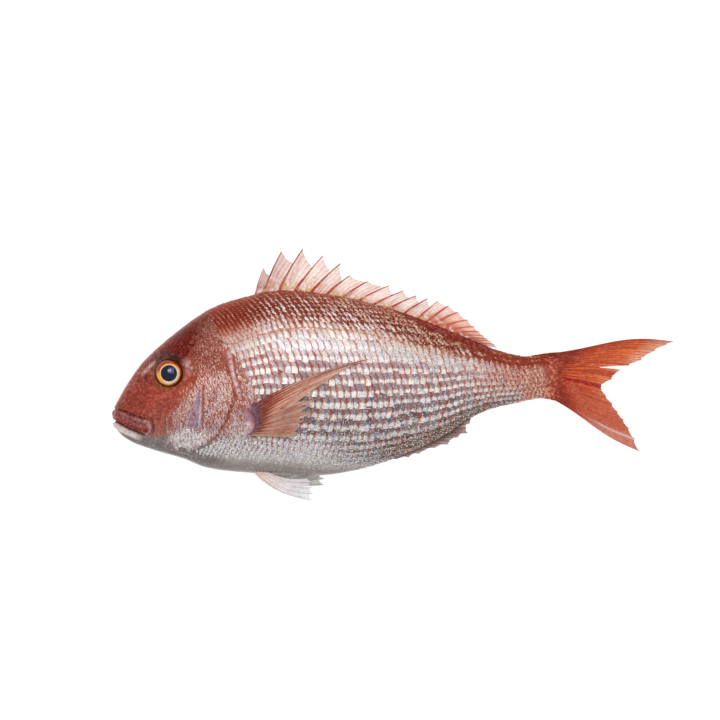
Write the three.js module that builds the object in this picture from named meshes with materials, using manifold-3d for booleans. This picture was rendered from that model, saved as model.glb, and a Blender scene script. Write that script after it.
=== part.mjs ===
// A whole raw red sea bream, 350 mm long, lying on its right side with its left side up.
// Millimetres, +Z up. X runs from snout to tail, Y from belly to back, Z through the fish's thickness.
// The fish is drawn with its snout at x = 0 and moved at the end, so that the origin is the middle of
// the surface it lies on.
import * as THREE from "three";
import { mergeVertices } from "three/addons/utils/BufferGeometryUtils.js";
import Module from "manifold-3d";

const wasm = await Module();
wasm.setup();

// ---------------------------------------------------------------- driving dimensions
const TRUNK_LENGTH = 272; // snout to the root of the tail fin
const STATIONS = 42; // rings along the trunk
const AROUND = 28; // corners of a ring
const SNOUT_CROWDING = 1.45; // rings stand closer together towards the snout
const EDGE_SHARPNESS = 0.15; // the back is a sharper edge than the belly by this exponent
const FLATTENING = 2; // height over which the underside eases into the flat it rests on
const GAP = 0.3; // clearance between neighbouring pieces

const GILL_SLIT = { width: 1.1, depth: 1.8 };
const MOUTH_SLIT = { width: 1.2, depth: 2.6 };
const EYE = { x: 34.7, y: 16.4, radius: 8.9, depth: 6.4, proud: 2.1 };
const NOSTRIL = { x: 20.8, y: 14.6, radius: 1.1, depth: 1.5 };

// Outline of the trunk without its fins, [x, y].
const BACK = [
  [0, -8.1], [1.9, -3.4], [10, 10.9], [20, 25], [40, 42.8], [60, 56.3], [80, 63.9], [105, 68.4], [142, 64.7],
  [180, 55.3], [221, 39.4], [242, 30.7], [258, 27.3], [272, 29.2],
];
const BELLY = [
  [0, -8.3], [2.5, -16.9], [10, -24.4], [24, -30.1], [45, -36.2], [60, -41.4], [80, -44.6], [128, -47.2],
  [157, -42.6], [187, -32], [208, -22], [221, -12.6], [236, -5.2], [254, -0.9], [272, 2.6],
];
const HALF_WIDTH = [
  [0, 0.6], [3, 5.8], [8, 8.8], [25, 14.6], [50, 19.8], [80, 23.1], [100, 23.5], [125, 22.8], [150, 20.8],
  [175, 17.4], [200, 13.4], [240, 7.8], [265, 4.9], [272, 2.4],
];
// Height of the fish's middle plane: the tail sags towards the surface.
const MIDDLE = [
  [0, 17.5], [20, 19], [45, 19.9], [150, 19.9], [175, 18.9], [200, 16.4], [225, 13.2], [250, 10.2], [272, 8],
];

// Rear edge of the gill cover and the line of the shut mouth, [x, y].
const GILL_EDGE = [[67, 33], [72, 22], [75.5, 11], [75.8, 1.4], [72.6, -8], [67.8, -18.5], [61, -26], [50, -31.5]];
const MOUTH_LINE = [[-2, -12.6], [6, -14.2], [13, -18], [19.5, -21]];

// ---------------------------------------------------------------- curves and the trunk's skin
const { lerp, smoothstep, clamp } = THREE.MathUtils;

// A smooth curve through [x, value] points, as a function of x.
function through(points) {
  const slope = points.map((p, i) => {
    const a = points[Math.max(i - 1, 0)];
    const b = points[Math.min(i + 1, points.length - 1)];
    return (b[1] - a[1]) / (b[0] - a[0]);
  });
  return (x) => {
    let i = 0;
    while (i < points.length - 2 && x > points[i + 1][0]) i++;
    const [x0, y0] = points[i];
    const [x1, y1] = points[i + 1];
    const step = x1 - x0;
    const t = clamp((x - x0) / step, 0, 1);
    const rise = t * t * (3 - 2 * t);
    const leave = t * (1 - t) * (1 - t) * step;
    const arrive = t * t * (t - 1) * step;
    return y0 + (y1 - y0) * rise + leave * slope[i] + arrive * slope[i + 1];
  };
}

const back = through(BACK);
const belly = through(BELLY);
const halfWidth = through(HALF_WIDTH);
const middle = through(MIDDLE);

// The larger of value and floor, rounded off where they meet.
function easedAbove(value, floor) {
  const over = value - floor;
  if (over >= FLATTENING) return value;
  if (over <= -FLATTENING) return floor;
  return floor + (over + FLATTENING) ** 2 / (4 * FLATTENING);
}

// How far the skin stands out sideways at x, y, with the trunk grown by grow.
function bulge(x, y, grow = 0) {
  const top = back(x) + grow;
  const low = belly(x) - grow;
  const height = clamp((2 * y - top - low) / (top - low), -1, 1);
  const share = Math.sqrt(1 - height * height);
  return (halfWidth(x) + grow) * share ** (1 + EDGE_SHARPNESS * height);
}

const upperSkin = (x, y) => middle(x) + bulge(x, y);
const lowerSkin = (x, y) => easedAbove(middle(x) - bulge(x, y), 0);

// ---------------------------------------------------------------- meshes and solids
function geometryOf(points, faces) {
  const geometry = new THREE.BufferGeometry();
  geometry.setAttribute("position", new THREE.Float32BufferAttribute(points.flat(), 3));
  geometry.setIndex(faces.flat());
  return geometry;
}

function solidOf(geometry) {
  const bare = geometry.clone();
  bare.deleteAttribute("normal");
  bare.deleteAttribute("uv");
  const merged = mergeVertices(bare, 1e-4);
  const mesh = new wasm.Mesh({
    numProp: 3,
    vertProperties: merged.attributes.position.array,
    triVerts: new Uint32Array(merged.index.array),
  });
  return new wasm.Manifold(mesh);
}

function meshOf(name, solid, material) {
  const { vertProperties, triVerts } = solid.getMesh();
  const geometry = new THREE.BufferGeometry();
  geometry.setAttribute("position", new THREE.BufferAttribute(new Float32Array(vertProperties), 3));
  geometry.setIndex(new THREE.BufferAttribute(new Uint32Array(triVerts), 1));
  geometry.computeVertexNormals();
  const mesh = new THREE.Mesh(geometry, material);
  mesh.name = name;
  return mesh;
}

// The trunk as rings of corners from snout to tail root, closed by a fan at each end.
function trunkSolid(grow = 0) {
  const points = [];
  const faces = [];
  for (let i = 0; i < STATIONS; i++) {
    const share = (i / (STATIONS - 1)) ** SNOUT_CROWDING;
    const x = TRUNK_LENGTH * share;
    const top = back(x) + grow;
    const low = belly(x) - grow;
    const shift = grow * (2 * share - 1);
    for (let j = 0; j < AROUND; j++) {
      const turn = (2 * Math.PI * j) / AROUND;
      const height = Math.cos(turn);
      const y = (top + low) / 2 + ((top - low) / 2) * height;
      const out = bulge(x, y, grow) * Math.sign(Math.round(1e6 * Math.sin(turn)));
      points.push([x + shift, y, easedAbove(middle(x) + out, -grow)]);
    }
  }
  for (let i = 0; i + 1 < STATIONS; i++) {
    for (let j = 0; j < AROUND; j++) {
      const a = i * AROUND + j;
      const b = i * AROUND + ((j + 1) % AROUND);
      faces.push([a, b, a + AROUND], [b, b + AROUND, a + AROUND]);
    }
  }
  const last = (STATIONS - 1) * AROUND;
  for (let j = 1; j + 1 < AROUND; j++) {
    faces.push([0, j + 1, j], [last, last + j, last + j + 1]);
  }
  return solidOf(geometryOf(points, faces));
}

// A thin plate over a fan of rays. Each ray is a list of [x, y, z] points from its root to its tip, all
// rays with as many, and the plate's thickness falls evenly from root to tip.
function finSolid(rays, thickness) {
  const rows = rays[0].length;
  const points = [];
  const faces = [];
  for (const side of [1, -1]) {
    for (const ray of rays) {
      ray.forEach(([x, y, z], j) => {
        const half = lerp(thickness.root, thickness.tip, j / (rows - 1)) / 2;
        points.push([x, y, z + side * half]);
      });
    }
  }
  const count = rays.length * rows;
  const quad = (a, b, c, d) => faces.push([a, b, c], [a, c, d]);
  for (let i = 0; i + 1 < rays.length; i++) {
    for (let j = 0; j + 1 < rows; j++) {
      const a = i * rows + j;
      quad(a, a + 1, a + rows + 1, a + rows);
      quad(count + a, count + a + rows, count + a + rows + 1, count + a + 1);
    }
    const root = i * rows;
    const tip = root + rows - 1;
    quad(root, root + rows, count + root + rows, count + root);
    quad(tip, count + tip, count + tip + rows, tip + rows);
  }
  const end = (rays.length - 1) * rows;
  for (let j = 0; j + 1 < rows; j++) {
    quad(j, count + j, count + j + 1, j + 1);
    quad(end + j, end + j + 1, count + end + j + 1, count + end + j);
  }
  const made = solidOf(geometryOf(points, faces));
  return made.volume() > 0 ? made : solidOf(geometryOf(points, faces.map(([a, b, c]) => [a, c, b])));
}

// ---------------------------------------------------------------- rays
// Points along a ray from root to tip in rows steps. bow pushes its middle sideways, as a share of its
// length, and heightAt gives z from x, y and the share of the way along.
function rayPoints(root, tip, rows, bow, heightAt) {
  const points = [];
  for (let j = 0; j <= rows; j++) {
    const t = j / rows;
    const arch = 4 * bow * t * (1 - t);
    const x = root[0] + (tip[0] - root[0]) * t - (tip[1] - root[1]) * arch;
    const y = root[1] + (tip[1] - root[1]) * t + (tip[0] - root[0]) * arch;
    points.push([x, y, heightAt(x, y, t)]);
  }
  return points;
}

const between = (a, b, t) => a.map((v, k) => v + (b[k] - v) * t);

// Rays with webs between them. Each web falls from the tip of one ray to a share, hold, of the next one,
// sagging in the middle by sag of that ray's length. folds says how far across the web its own rays are.
function webbed(spokes, { hold, sag, rows, bow, folds }, heightAt) {
  const rays = [];
  spokes.forEach(([root, tip], i) => {
    rays.push(rayPoints(root, tip, rows, bow, heightAt));
    if (i + 1 === spokes.length) return;
    const [nextRoot, nextTip] = spokes[i + 1];
    const meets = between(nextRoot, nextTip, hold);
    for (const t of folds) {
      const foot = between(root, nextRoot, t);
      const rim = between(tip, meets, t);
      const dip = sag * 4 * t * (1 - t);
      rays.push(rayPoints(foot, between(rim, foot, dip), rows, bow, heightAt));
    }
  });
  return rays;
}

// ---------------------------------------------------------------- the fins, as [root, tip] of each ray
const SPINE_TIPS = [
  [94.8, 82.8], [106, 93.3], [119.2, 94.8], [131.9, 90.6], [142.9, 85.8], [148.6, 78.1], [159.9, 74.3],
  [173.3, 71.8], [182.3, 68.6], [190.5, 65.6], [197.5, 63.8], [203.4, 61.9],
];
const SPINE_FEET = { first: 89.5, second: 93.6, last: 190, count: 12 };
const SOFT_TIPS = [
  [210.4, 58.9], [216.4, 55.1], [222.3, 50.3], [226.6, 46], [229.8, 42.8], [232.5, 40.3], [234.7, 38.4],
  [236.6, 36.9], [238.6, 35.4],
];
const SOFT_FEET = { first: 196, last: 232 };
const FIN_ROOT_DEPTH = 3.2; // how deep a fin's rays start inside the trunk

const evenly = (first, last, count) =>
  Array.from({ length: count }, (_, i) => lerp(first, last, i / (count - 1)));

const DORSAL_THICKNESS = { root: 2.4, tip: 0.9 };
const DORSAL_RIPPLE = { height: 0.9, spacing: 44 }; // how far the fin waves to either side, and how often
const DORSAL_WEB = { hold: 0.72, sag: 0.06, rows: 3, bow: 0.03, folds: [0.85] };

function dorsalFin() {
  const { height, spacing } = DORSAL_RIPPLE;
  const ripple = (x, y, t) => middle(x) + height * t * Math.sin((2 * Math.PI * x) / spacing);
  const spineFeet = [SPINE_FEET.first, ...evenly(SPINE_FEET.second, SPINE_FEET.last, SPINE_FEET.count - 1)];
  const softFeet = evenly(SOFT_FEET.first, SOFT_FEET.last, SOFT_TIPS.length);
  const tips = [...SPINE_TIPS, ...SOFT_TIPS];
  const spokes = [...spineFeet, ...softFeet].map((x, i) => [[x, back(x) - FIN_ROOT_DEPTH], tips[i]]);
  return finSolid(webbed(spokes, DORSAL_WEB, ripple), DORSAL_THICKNESS);
}

const TAIL_ROOT_X = 264;
const TAIL_ROOT_Y = [28.6, 3.4]; // highest and lowest ray at the root
const TAIL_TIPS = [
  [351, 36.5], [345, 34.6], [337, 31.2], [328, 26.4], [319, 20.2], [318, 17.4], [312, 12.4], [306.6, 7.9],
  [308.4, 2.8], [312.4, -1.6], [315.6, -6.9], [319, -12], [321.6, -16.8], [325.6, -22.4], [329.6, -30.4],
];
const TAIL_TIP_HEIGHT = 3.2;
const TAIL_THICKNESS = { root: 3.2, tip: 1 };
const TAIL_WEB = { hold: 0.97, sag: 0.05, rows: 5, bow: 0.012, folds: [0.6] };

function tailFin() {
  const roots = evenly(...TAIL_ROOT_Y, TAIL_TIPS.length);
  const spokes = TAIL_TIPS.map((tip, i) => [[TAIL_ROOT_X, roots[i]], tip]);
  const sag = (x, y, t) => lerp(middle(TRUNK_LENGTH), TAIL_TIP_HEIGHT, t);
  return finSolid(webbed(spokes, TAIL_WEB, sag), TAIL_THICKNESS);
}

const ANAL_TIPS = [
  [180.5, -39.4], [189, -36.6], [195.5, -34.6], [204, -32.8], [211.6, -28.6], [216, -24.6], [222, -20.3],
  [224.6, -15.6], [226.6, -11.6],
];
const ANAL_FEET = { first: 171, last: 219 };
const ANAL_THICKNESS = { root: 2.2, tip: 0.9 };
const ANAL_WEB = { hold: 0.8, sag: 0.05, rows: 2, bow: -0.02, folds: [0.3, 0.92] };

function analFin() {
  const feet = evenly(ANAL_FEET.first, ANAL_FEET.last, ANAL_TIPS.length);
  const spokes = ANAL_TIPS.map((tip, i) => [[feet[i], belly(feet[i]) + FIN_ROOT_DEPTH], tip]);
  return finSolid(webbed(spokes, ANAL_WEB, middle), ANAL_THICKNESS);
}

const PECTORAL_ROOT = [[83.5, -3], [85.5, -22.6]]; // highest and lowest ray at the root
const PECTORAL_TIPS = [
  [158.6, 24.4], [156, 22.6], [149, 19.2], [141, 14.4], [134, 10], [127, 5.4], [124, 1.2], [130.6, 2],
  [127, -2], [126.6, -7.6], [120, -12], [117, -16], [115, -20.2], [112, -23],
];
const PECTORAL_THICKNESS = { root: 2.2, tip: 0.9 };
const PECTORAL = { buried: 2.4, emerges: 0.16, clear: 1.3, lift: 2 };
const PECTORAL_WEB = { hold: 0.97, sag: 0.05, rows: 6, bow: -0.035, folds: [0.6] };
const HOLLOW_CLEARANCE = 0.8;

function pectoralRays(heightAt) {
  const last = PECTORAL_TIPS.length - 1;
  const spokes = PECTORAL_TIPS.map((tip, i) => [between(...PECTORAL_ROOT, i / last), tip]);
  return webbed(spokes, PECTORAL_WEB, heightAt);
}

// How far a pectoral fin stands off the skin along its rays: rooted in the flesh, then clear of it.
function standOff(t) {
  const { buried, emerges, clear, lift } = PECTORAL;
  return lerp(-buried, clear, smoothstep(t, 0, emerges)) + lift * t * t;
}

function leftPectoralFin() {
  return finSolid(pectoralRays((x, y, t) => upperSkin(x, y) + standOff(t)), PECTORAL_THICKNESS);
}

// The fin under the fish is pressed flat on the surface, in a hollow of the flank that fits round it.
function rightPectoralFin() {
  const { root, tip } = PECTORAL_THICKNESS;
  return finSolid(pectoralRays((x, y, t) => lerp(root, tip, t) / 2), PECTORAL_THICKNESS);
}

function pectoralHollow() {
  const rays = pectoralRays(() => 0);
  const rim = [...rays[0], ...PECTORAL_TIPS.slice(1, -1), ...rays.at(-1).toReversed()];
  const corners = rim.map(([x, y], i) => {
    const [ax, ay] = rim.at(i - 1);
    const [bx, by] = rim[(i + 1) % rim.length];
    const away = new THREE.Vector2(ay - by, bx - ax).setLength(HOLLOW_CLEARANCE);
    return new THREE.Vector2(x, y).add(away);
  });
  const height = 2 * PECTORAL_THICKNESS.root;
  const hollow = new THREE.ExtrudeGeometry(new THREE.Shape(corners), { depth: height, bevelEnabled: false });
  return solidOf(hollow.translate(0, 0, PECTORAL_THICKNESS.root + GAP - height));
}

const PELVIC_ROOT = [[86, -42], [95, -43.4]]; // spine and innermost ray at the root
const PELVIC_TIPS = [
  [119.4, -61.4], [125.4, -62.8], [126.2, -58.8], [125.4, -55], [124.8, -51.2], [123.6, -48.4],
];
const PELVIC_THICKNESS = { root: 2, tip: 0.9 };
const PELVIC_WEB = { hold: 0.95, sag: 0.05, rows: 4, bow: -0.06, folds: [0.6] };
const PELVIC = { side: 6.5, droop: 6, clear: 1.2, buried: 1, emerges: 0.15 };
const RIGHT_PELVIC_TIP = { ahead: 4.6, below: 1.6, turn: 0.16 }; // how its tips lie from the left fin's

// side is 1 for the left fin, lying on the belly, and -1 for the right one, tucked in below it.
function pelvicFin(side) {
  const drape = (x, y, t) => {
    const inside = y > belly(x) && y < back(x) ? bulge(x, y) : 0;
    const buried = t <= PELVIC.emerges;
    const off = buried ? PELVIC.side - PELVIC.buried : Math.max(PELVIC.side, inside + PELVIC.clear);
    return middle(x) + side * off - PELVIC.droop * t * t;
  };
  const spokes = PELVIC_TIPS.map((tip, i) => {
    const root = between(...PELVIC_ROOT, i / (PELVIC_TIPS.length - 1));
    if (side > 0) return [root, tip];
    const { ahead, below, turn } = RIGHT_PELVIC_TIP;
    const turned = new THREE.Vector2(...tip).rotateAround(new THREE.Vector2(...root), turn);
    return [root, [turned.x + ahead, turned.y - below]];
  });
  return finSolid(webbed(spokes, PELVIC_WEB, drape), PELVIC_THICKNESS);
}

// ---------------------------------------------------------------- cuts in the trunk
const CUT_HEIGHT = 80; // taller than the fish is thick

// A band of constant width along a line of [x, y] points, running right through the fish.
function bandSolid(line, width) {
  const middleLine = new THREE.SplineCurve(line.map((p) => new THREE.Vector2(...p)));
  const count = 2 * line.length;
  const sides = [[], []];
  for (let i = 0; i <= count; i++) {
    const at = middleLine.getPoint(i / count);
    const along = middleLine.getTangent(i / count);
    for (const s of [0, 1]) {
      const aside = (s - 0.5) * width;
      sides[s].push(new THREE.Vector2(at.x - along.y * aside, at.y + along.x * aside));
    }
  }
  const shape = new THREE.Shape([...sides[0], ...sides[1].reverse()]);
  const band = new THREE.ExtrudeGeometry(shape, { depth: CUT_HEIGHT, bevelEnabled: false });
  return solidOf(band.translate(0, 0, -CUT_HEIGHT / 4));
}

// A slit of a given depth in both flanks.
const slit = (line, { width, depth }) => bandSolid(line, width).subtract(trunkSolid(-depth));

function eyeball(side, grow = 0) {
  const ball = new THREE.SphereGeometry(EYE.radius + grow, 20, 10).rotateX(Math.PI / 2);
  ball.scale(1, 1, (EYE.depth + grow) / (EYE.radius + grow));
  const out = bulge(EYE.x, EYE.y) + EYE.proud - EYE.depth;
  return solidOf(ball.translate(EYE.x, EYE.y, middle(EYE.x) + side * out));
}

function nostril(side) {
  const { x, y, radius, depth } = NOSTRIL;
  const pit = new THREE.CylinderGeometry(radius, radius, 2 * depth, 10).rotateX(Math.PI / 2);
  return solidOf(pit.translate(x, y, middle(x) + side * bulge(x, y)));
}

function trunk() {
  const cuts = [
    slit(GILL_EDGE, GILL_SLIT),
    slit(MOUTH_LINE, MOUTH_SLIT),
    eyeball(1, GAP),
    eyeball(-1, GAP),
    nostril(1),
    nostril(-1),
    pectoralHollow(),
  ];
  return cuts.reduce((solid, cut) => solid.subtract(cut), trunkSolid());
}

// ---------------------------------------------------------------- the fish
const skin = new THREE.MeshStandardMaterial({ color: 0xb98a84, roughness: 0.3, metalness: 0.35 });
const redFin = new THREE.MeshStandardMaterial({ color: 0xcc5c3c, roughness: 0.35, metalness: 0 });
const paleFin = new THREE.MeshStandardMaterial({ color: 0xe0b6a8, roughness: 0.35, metalness: 0 });
const eyeGloss = new THREE.MeshStandardMaterial({ color: 0xd98a2b, roughness: 0.08, metalness: 0 });

const clearOfTrunk = trunkSolid(GAP);
const outside = (solid) => {
  const pieces = solid.subtract(clearOfTrunk).decompose();
  return pieces.reduce((a, b) => (a.volume() > b.volume() ? a : b));
};

const fish = new THREE.Group();
fish.add(
  meshOf("trunk", trunk(), skin),
  meshOf("left_eye", eyeball(1), eyeGloss),
  meshOf("right_eye", eyeball(-1), eyeGloss),
  meshOf("dorsal_fin", outside(dorsalFin()), paleFin),
  meshOf("tail_fin", outside(tailFin()), redFin),
  meshOf("anal_fin", outside(analFin()), paleFin),
  meshOf("left_pectoral_fin", outside(leftPectoralFin()), redFin),
  meshOf("right_pectoral_fin", rightPectoralFin(), redFin),
  meshOf("left_pelvic_fin", outside(pelvicFin(1)), paleFin),
  meshOf("right_pelvic_fin", outside(pelvicFin(-1)), paleFin),
);

const box = new THREE.Box3().setFromObject(fish);
const centre = box.getCenter(new THREE.Vector3());
fish.position.set(-centre.x, -centre.y, -box.min.z);

export default fish;
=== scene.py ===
# %% [markdown]
# # A whole raw red sea bream
# The fish lies on its right side with its left side up, as on a slab. Its hard facts, the places and
# sizes of trunk, fins and eyes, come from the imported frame. This script gives it skin: a dense loft with
# lips, gill cover and eye sockets, some thousand separate overlapping scales, fins with rays, wet eyes.

# %% Load the frame
import math

import bpy
import numpy as np
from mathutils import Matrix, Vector


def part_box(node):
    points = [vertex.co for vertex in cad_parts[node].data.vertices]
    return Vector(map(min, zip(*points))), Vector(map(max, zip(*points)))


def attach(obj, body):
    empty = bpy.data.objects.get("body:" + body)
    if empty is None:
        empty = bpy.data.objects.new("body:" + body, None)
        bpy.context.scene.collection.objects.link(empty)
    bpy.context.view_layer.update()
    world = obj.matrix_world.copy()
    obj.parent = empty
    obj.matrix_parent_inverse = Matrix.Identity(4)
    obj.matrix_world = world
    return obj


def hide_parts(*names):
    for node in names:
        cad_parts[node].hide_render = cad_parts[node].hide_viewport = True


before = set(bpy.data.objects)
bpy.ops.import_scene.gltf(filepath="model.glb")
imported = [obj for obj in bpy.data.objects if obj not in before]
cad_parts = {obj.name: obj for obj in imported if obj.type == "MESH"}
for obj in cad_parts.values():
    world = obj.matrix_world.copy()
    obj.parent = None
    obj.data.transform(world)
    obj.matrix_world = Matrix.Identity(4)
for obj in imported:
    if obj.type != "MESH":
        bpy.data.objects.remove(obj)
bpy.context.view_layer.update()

BODY = "root"
MM = 0.001
SEED = 11
SIDES = {1: "left", -1: "right"}

# %% [markdown]
# ## Curves that draw the fish
# A fish is easiest to draw as a fishmonger sees it, from the side: an outline of the back, one of the
# belly, and how thick the fish is at each place. A few points and a smooth curve through them say each
# of these. The numbers are in millimetres in the fish's own frame, with x = 0 at the snout. The skin runs
# on a little past the trunk, to the place where it thins out over the roots of the tail fin's rays.

# %% Smooth curves through a few points
SKIN_LENGTH = 284
BACK = [
    (0, -8.1), (1.9, -3.4), (10, 10.9), (20, 24.5), (40, 42.3), (60, 56.2), (80, 63.5), (105, 68.4),
    (142, 64.7), (180, 55.3), (221, 39.4), (242, 30.7), (258, 27.3), (272, 29.4), (284, 30.2),
]
BELLY = [
    (0, -8.3), (2.2, -17.1), (10, -24.8), (24, -30.5), (45, -36.7), (58, -41.9), (80, -45),
    (128, -47.2), (157, -42.6), (187, -32), (208, -22), (221, -12.8), (236, -5.7), (254, -1.5),
    (268, 1), (284, -2.2),
]
HALF_WIDTH = [
    (0, 0.6), (3, 5.8), (8, 8.8), (25, 14.6), (50, 19.8), (80, 23.1), (100, 23.5), (125, 22.8),
    (150, 20.8), (175, 17.4), (200, 13.4), (240, 7.8), (258, 5.4), (268, 3.4), (275, 1.6),
    (280, 0.6), (284, 0.1),
]
MIDDLE = [
    (0, 17.5), (20, 19), (45, 19.9), (150, 19.9), (175, 18.9), (200, 16.4), (225, 13.2), (250, 10.2),
    (272, 8), (284, 6.9), (310, 4.8), (351, 3.2),
]


def through(points):
    """A smooth curve through (x, value) points, as a function of x."""
    px, py = np.array(points, float).T
    slope = np.gradient(py, px)
    slope[1:-1] = (py[2:] - py[:-2]) / (px[2:] - px[:-2])

    def curve(x):
        x = np.clip(x, px[0], px[-1])
        i = np.clip(np.searchsorted(px, x, side="right") - 1, 0, len(px) - 2)
        step = px[i + 1] - px[i]
        t = (x - px[i]) / step
        rise = t * t * (3 - 2 * t)
        leave = t * (1 - t) ** 2 * step * slope[i]
        arrive = t * t * (t - 1) * step * slope[i + 1]
        return py[i] + (py[i + 1] - py[i]) * rise + leave + arrive

    return curve


back, belly, half_width, middle = map(through, (BACK, BELLY, HALF_WIDTH, MIDDLE))
print("depth of the trunk", round(float((back(np.arange(272)) - belly(np.arange(272))).max()), 1), "mm")

# %% Where the fish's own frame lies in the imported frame
TRUNK_LENGTH = 272
OUTLINE_POINTS = 1000
TRUNK_LOW, TRUNK_HIGH = (np.array(corner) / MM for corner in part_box("trunk"))
OUTLINE_X = np.linspace(0, TRUNK_LENGTH, OUTLINE_POINTS)
OUTLINE_MIDDLE_Y = (back(OUTLINE_X).max() + belly(OUTLINE_X).min()) / 2
FISH_ORIGIN = np.array([TRUNK_LOW[0], (TRUNK_LOW[1] + TRUNK_HIGH[1]) / 2 - OUTLINE_MIDDLE_Y, 0])
print("the snout is at", FISH_ORIGIN.round(2), "mm in the packed frame")

# %% [markdown]
# ## The shape of the flank
# Scales lie in rows that run along the fish, evenly spaced over its skin and not over its outline. So
# the loft is measured round each section: a place on the flank is x along the fish and a share of the
# way round, from -1 at the belly's edge through 0 at the widest place to 1 at the back's edge. Two
# tables give the height y of such a place and how far it stands out sideways.

# %% Tables of the flank
EDGE_SHARPNESS = 0.15  # the back is a sharper edge than the belly by this exponent
TABLE_X = np.linspace(0, SKIN_LENGTH, 2 * SKIN_LENGTH + 1)  # every half millimetre
TABLE_ROUND = np.linspace(-1, 1, 201)
SECTION_POINTS = 721


def measure_sections():
    """Heights and bulges over TABLE_X and TABLE_ROUND, and the skin's length above and below the middle."""
    turn = np.linspace(0, np.pi, SECTION_POINTS)
    rise = -np.cos(turn)
    heights, bulges, above, below = [], [], [], []
    for x in TABLE_X:
        y = (back(x) + belly(x)) / 2 + (back(x) - belly(x)) / 2 * rise
        out = half_width(x) * np.sin(turn) ** (1 + EDGE_SHARPNESS * rise)
        run = np.concatenate([[0], np.cumsum(np.hypot(np.diff(y), np.diff(out)))])
        run -= run[len(turn) // 2]
        way = np.where(run > 0, run / run[-1], run / -run[0])
        heights.append(np.interp(TABLE_ROUND, way, y))
        bulges.append(np.interp(TABLE_ROUND, way, out))
        above.append(run[-1])
        below.append(-run[0])
    return map(np.array, (heights, bulges, above, below))


HEIGHTS, BULGES, SKIN_ABOVE, SKIN_BELOW = measure_sections()


def look_up(table, x, way):
    """The table's value at x along the fish and way round it, smoothly between its entries."""
    last_x, last_way = len(TABLE_X) - 1, len(TABLE_ROUND) - 1
    just_inside = 0.001
    i = np.clip(x / TABLE_X[1], 0, last_x - just_inside)
    j = np.clip((way + 1) / 2 * last_way, 0, last_way - just_inside)
    i0, j0 = i.astype(int), j.astype(int)
    i, j = i - i0, j - j0
    near = table[i0, j0] * (1 - j) + table[i0, j0 + 1] * j
    far = table[i0 + 1, j0] * (1 - j) + table[i0 + 1, j0 + 1] * j
    return near * (1 - i) + far * i


def way_round(x, run):
    """The share of the way round that lies run millimetres above the middle of the flank."""
    longest = np.where(run > 0, np.interp(x, TABLE_X, SKIN_ABOVE), np.interp(x, TABLE_X, SKIN_BELOW))
    return run / longest


print("skin round half the thickest section", round(float((SKIN_ABOVE + SKIN_BELOW).max()), 1), "mm")

# %% [markdown]
# ## Measuring off drawn lines
# Gill cover, mouth and lips are folds that follow a drawn line. How far a point of the skin is from such
# a line, and on which side, says how high the fold stands there. These few helpers turn lines and
# circles into soft-edged heights and masks, which serve for shape and colour alike.

# %% Soft steps, and distances from a line


def ramp(low, high, value):
    """0 below low, 1 above high, and an even S between them; low may be above high to turn it round."""
    t = np.clip((value - low) / (high - low), 0, 1)
    return t * t * (3 - 2 * t)


def ridge(distance, width):
    """1 on the line, fading to nothing about two widths away."""
    return np.exp(-((distance / width) ** 2))


def rounded(points, count=24):
    """The points of a smooth line through a few (x, y) points."""
    points = np.array(points, float)
    run = np.concatenate([[0], np.cumsum(np.hypot(*np.diff(points, axis=0).T))])
    at = np.linspace(0, run[-1], count)
    return np.stack([through(list(zip(run, points[:, k])))(at) for k in (0, 1)], 1)


def from_line(line, x, y):
    """Distance from a line, the side (1 where it is on the left going along), and the share along it."""
    best = np.full(np.shape(x), np.inf)
    side, share = np.zeros(np.shape(x)), np.zeros(np.shape(x))
    lengths = np.hypot(*np.diff(line, axis=0).T)
    starts = np.concatenate([[0], np.cumsum(lengths)[:-1]])
    for (ax, ay), (bx, by), start, length in zip(line[:-1], line[1:], starts, lengths):
        dx, dy = (bx - ax) / length, (by - ay) / length
        t = np.clip((x - ax) * dx + (y - ay) * dy, 0, length)
        away = np.hypot(x - ax - t * dx, y - ay - t * dy)
        nearer = away < best
        best = np.where(nearer, away, best)
        side = np.where(nearer, np.sign(dx * (y - ay) - dy * (x - ax)), side)
        share = np.where(nearer, (start + t) / lengths.sum(), share)
    return best, side, share


def from_spot(x, y, spot, radii, tilt=0.0):
    """How far out a point is from a spot, in radii of an ellipse tilted by so many degrees."""
    c, s = math.cos(math.radians(tilt)), math.sin(math.radians(tilt))
    dx, dy = x - spot[0], y - spot[1]
    return np.hypot((dx * c + dy * s) / radii[0], (dy * c - dx * s) / radii[1])


# %% [markdown]
# ## The head's folds
# The mouth is shut: a thick upper lip rolls over a pale lower one, and its rear end tucks under a dark
# crease. Behind it the cheek ends in a bare, blade-shaped plate, and the gill cover ends in a free edge
# that stands off the shoulder. Each fold is a height added to the skin, all from the few lines below.

# %% Lines and spots of the head
LIP_LINE = rounded([(-1.5, -9.6), (5.6, -10.6), (11.9, -13.5), (17.5, -15.8), (20.2, -17)])
LIP_HALF = (3.2, 4.9)  # half the upper lip's width at the front of the mouth and at its corner
MOUTH_LINE = rounded([(-2.5, -13), (1.5, -13.2), (6.9, -16), (16.2, -20.3), (21.6, -22)])
LIP_FOLD = rounded([(-1.5, -5.2), (6.1, -6.4), (13.3, -9.5), (20, -11.6), (24.4, -12.2)])
JAW_CREASE = rounded([(24.2, -10.6), (25.8, -14), (26.3, -18), (25.6, -22)])
CHEEK_EDGE = rounded([(56, 12), (57, 2), (56.2, -9), (54.6, -19), (50.5, -26.5), (43, -31), (35, -32)])
GILL_EDGE = rounded(
    [(67, 33), (72, 22), (75.5, 11), (75.8, 1.4), (72.6, -8), (67.8, -18.5), (61, -26), (50, -31.5)]
)
THROAT_FOLD = rounded([(30, -29.6), (42, -33.4), (54, -36.4), (63, -37.5)])
PLATE_FRONT = through([(-19, 46), (-15.8, 46.2), (-2.9, 50), (8.75, 55.2), (12, 56.6)])  # x from y
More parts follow.
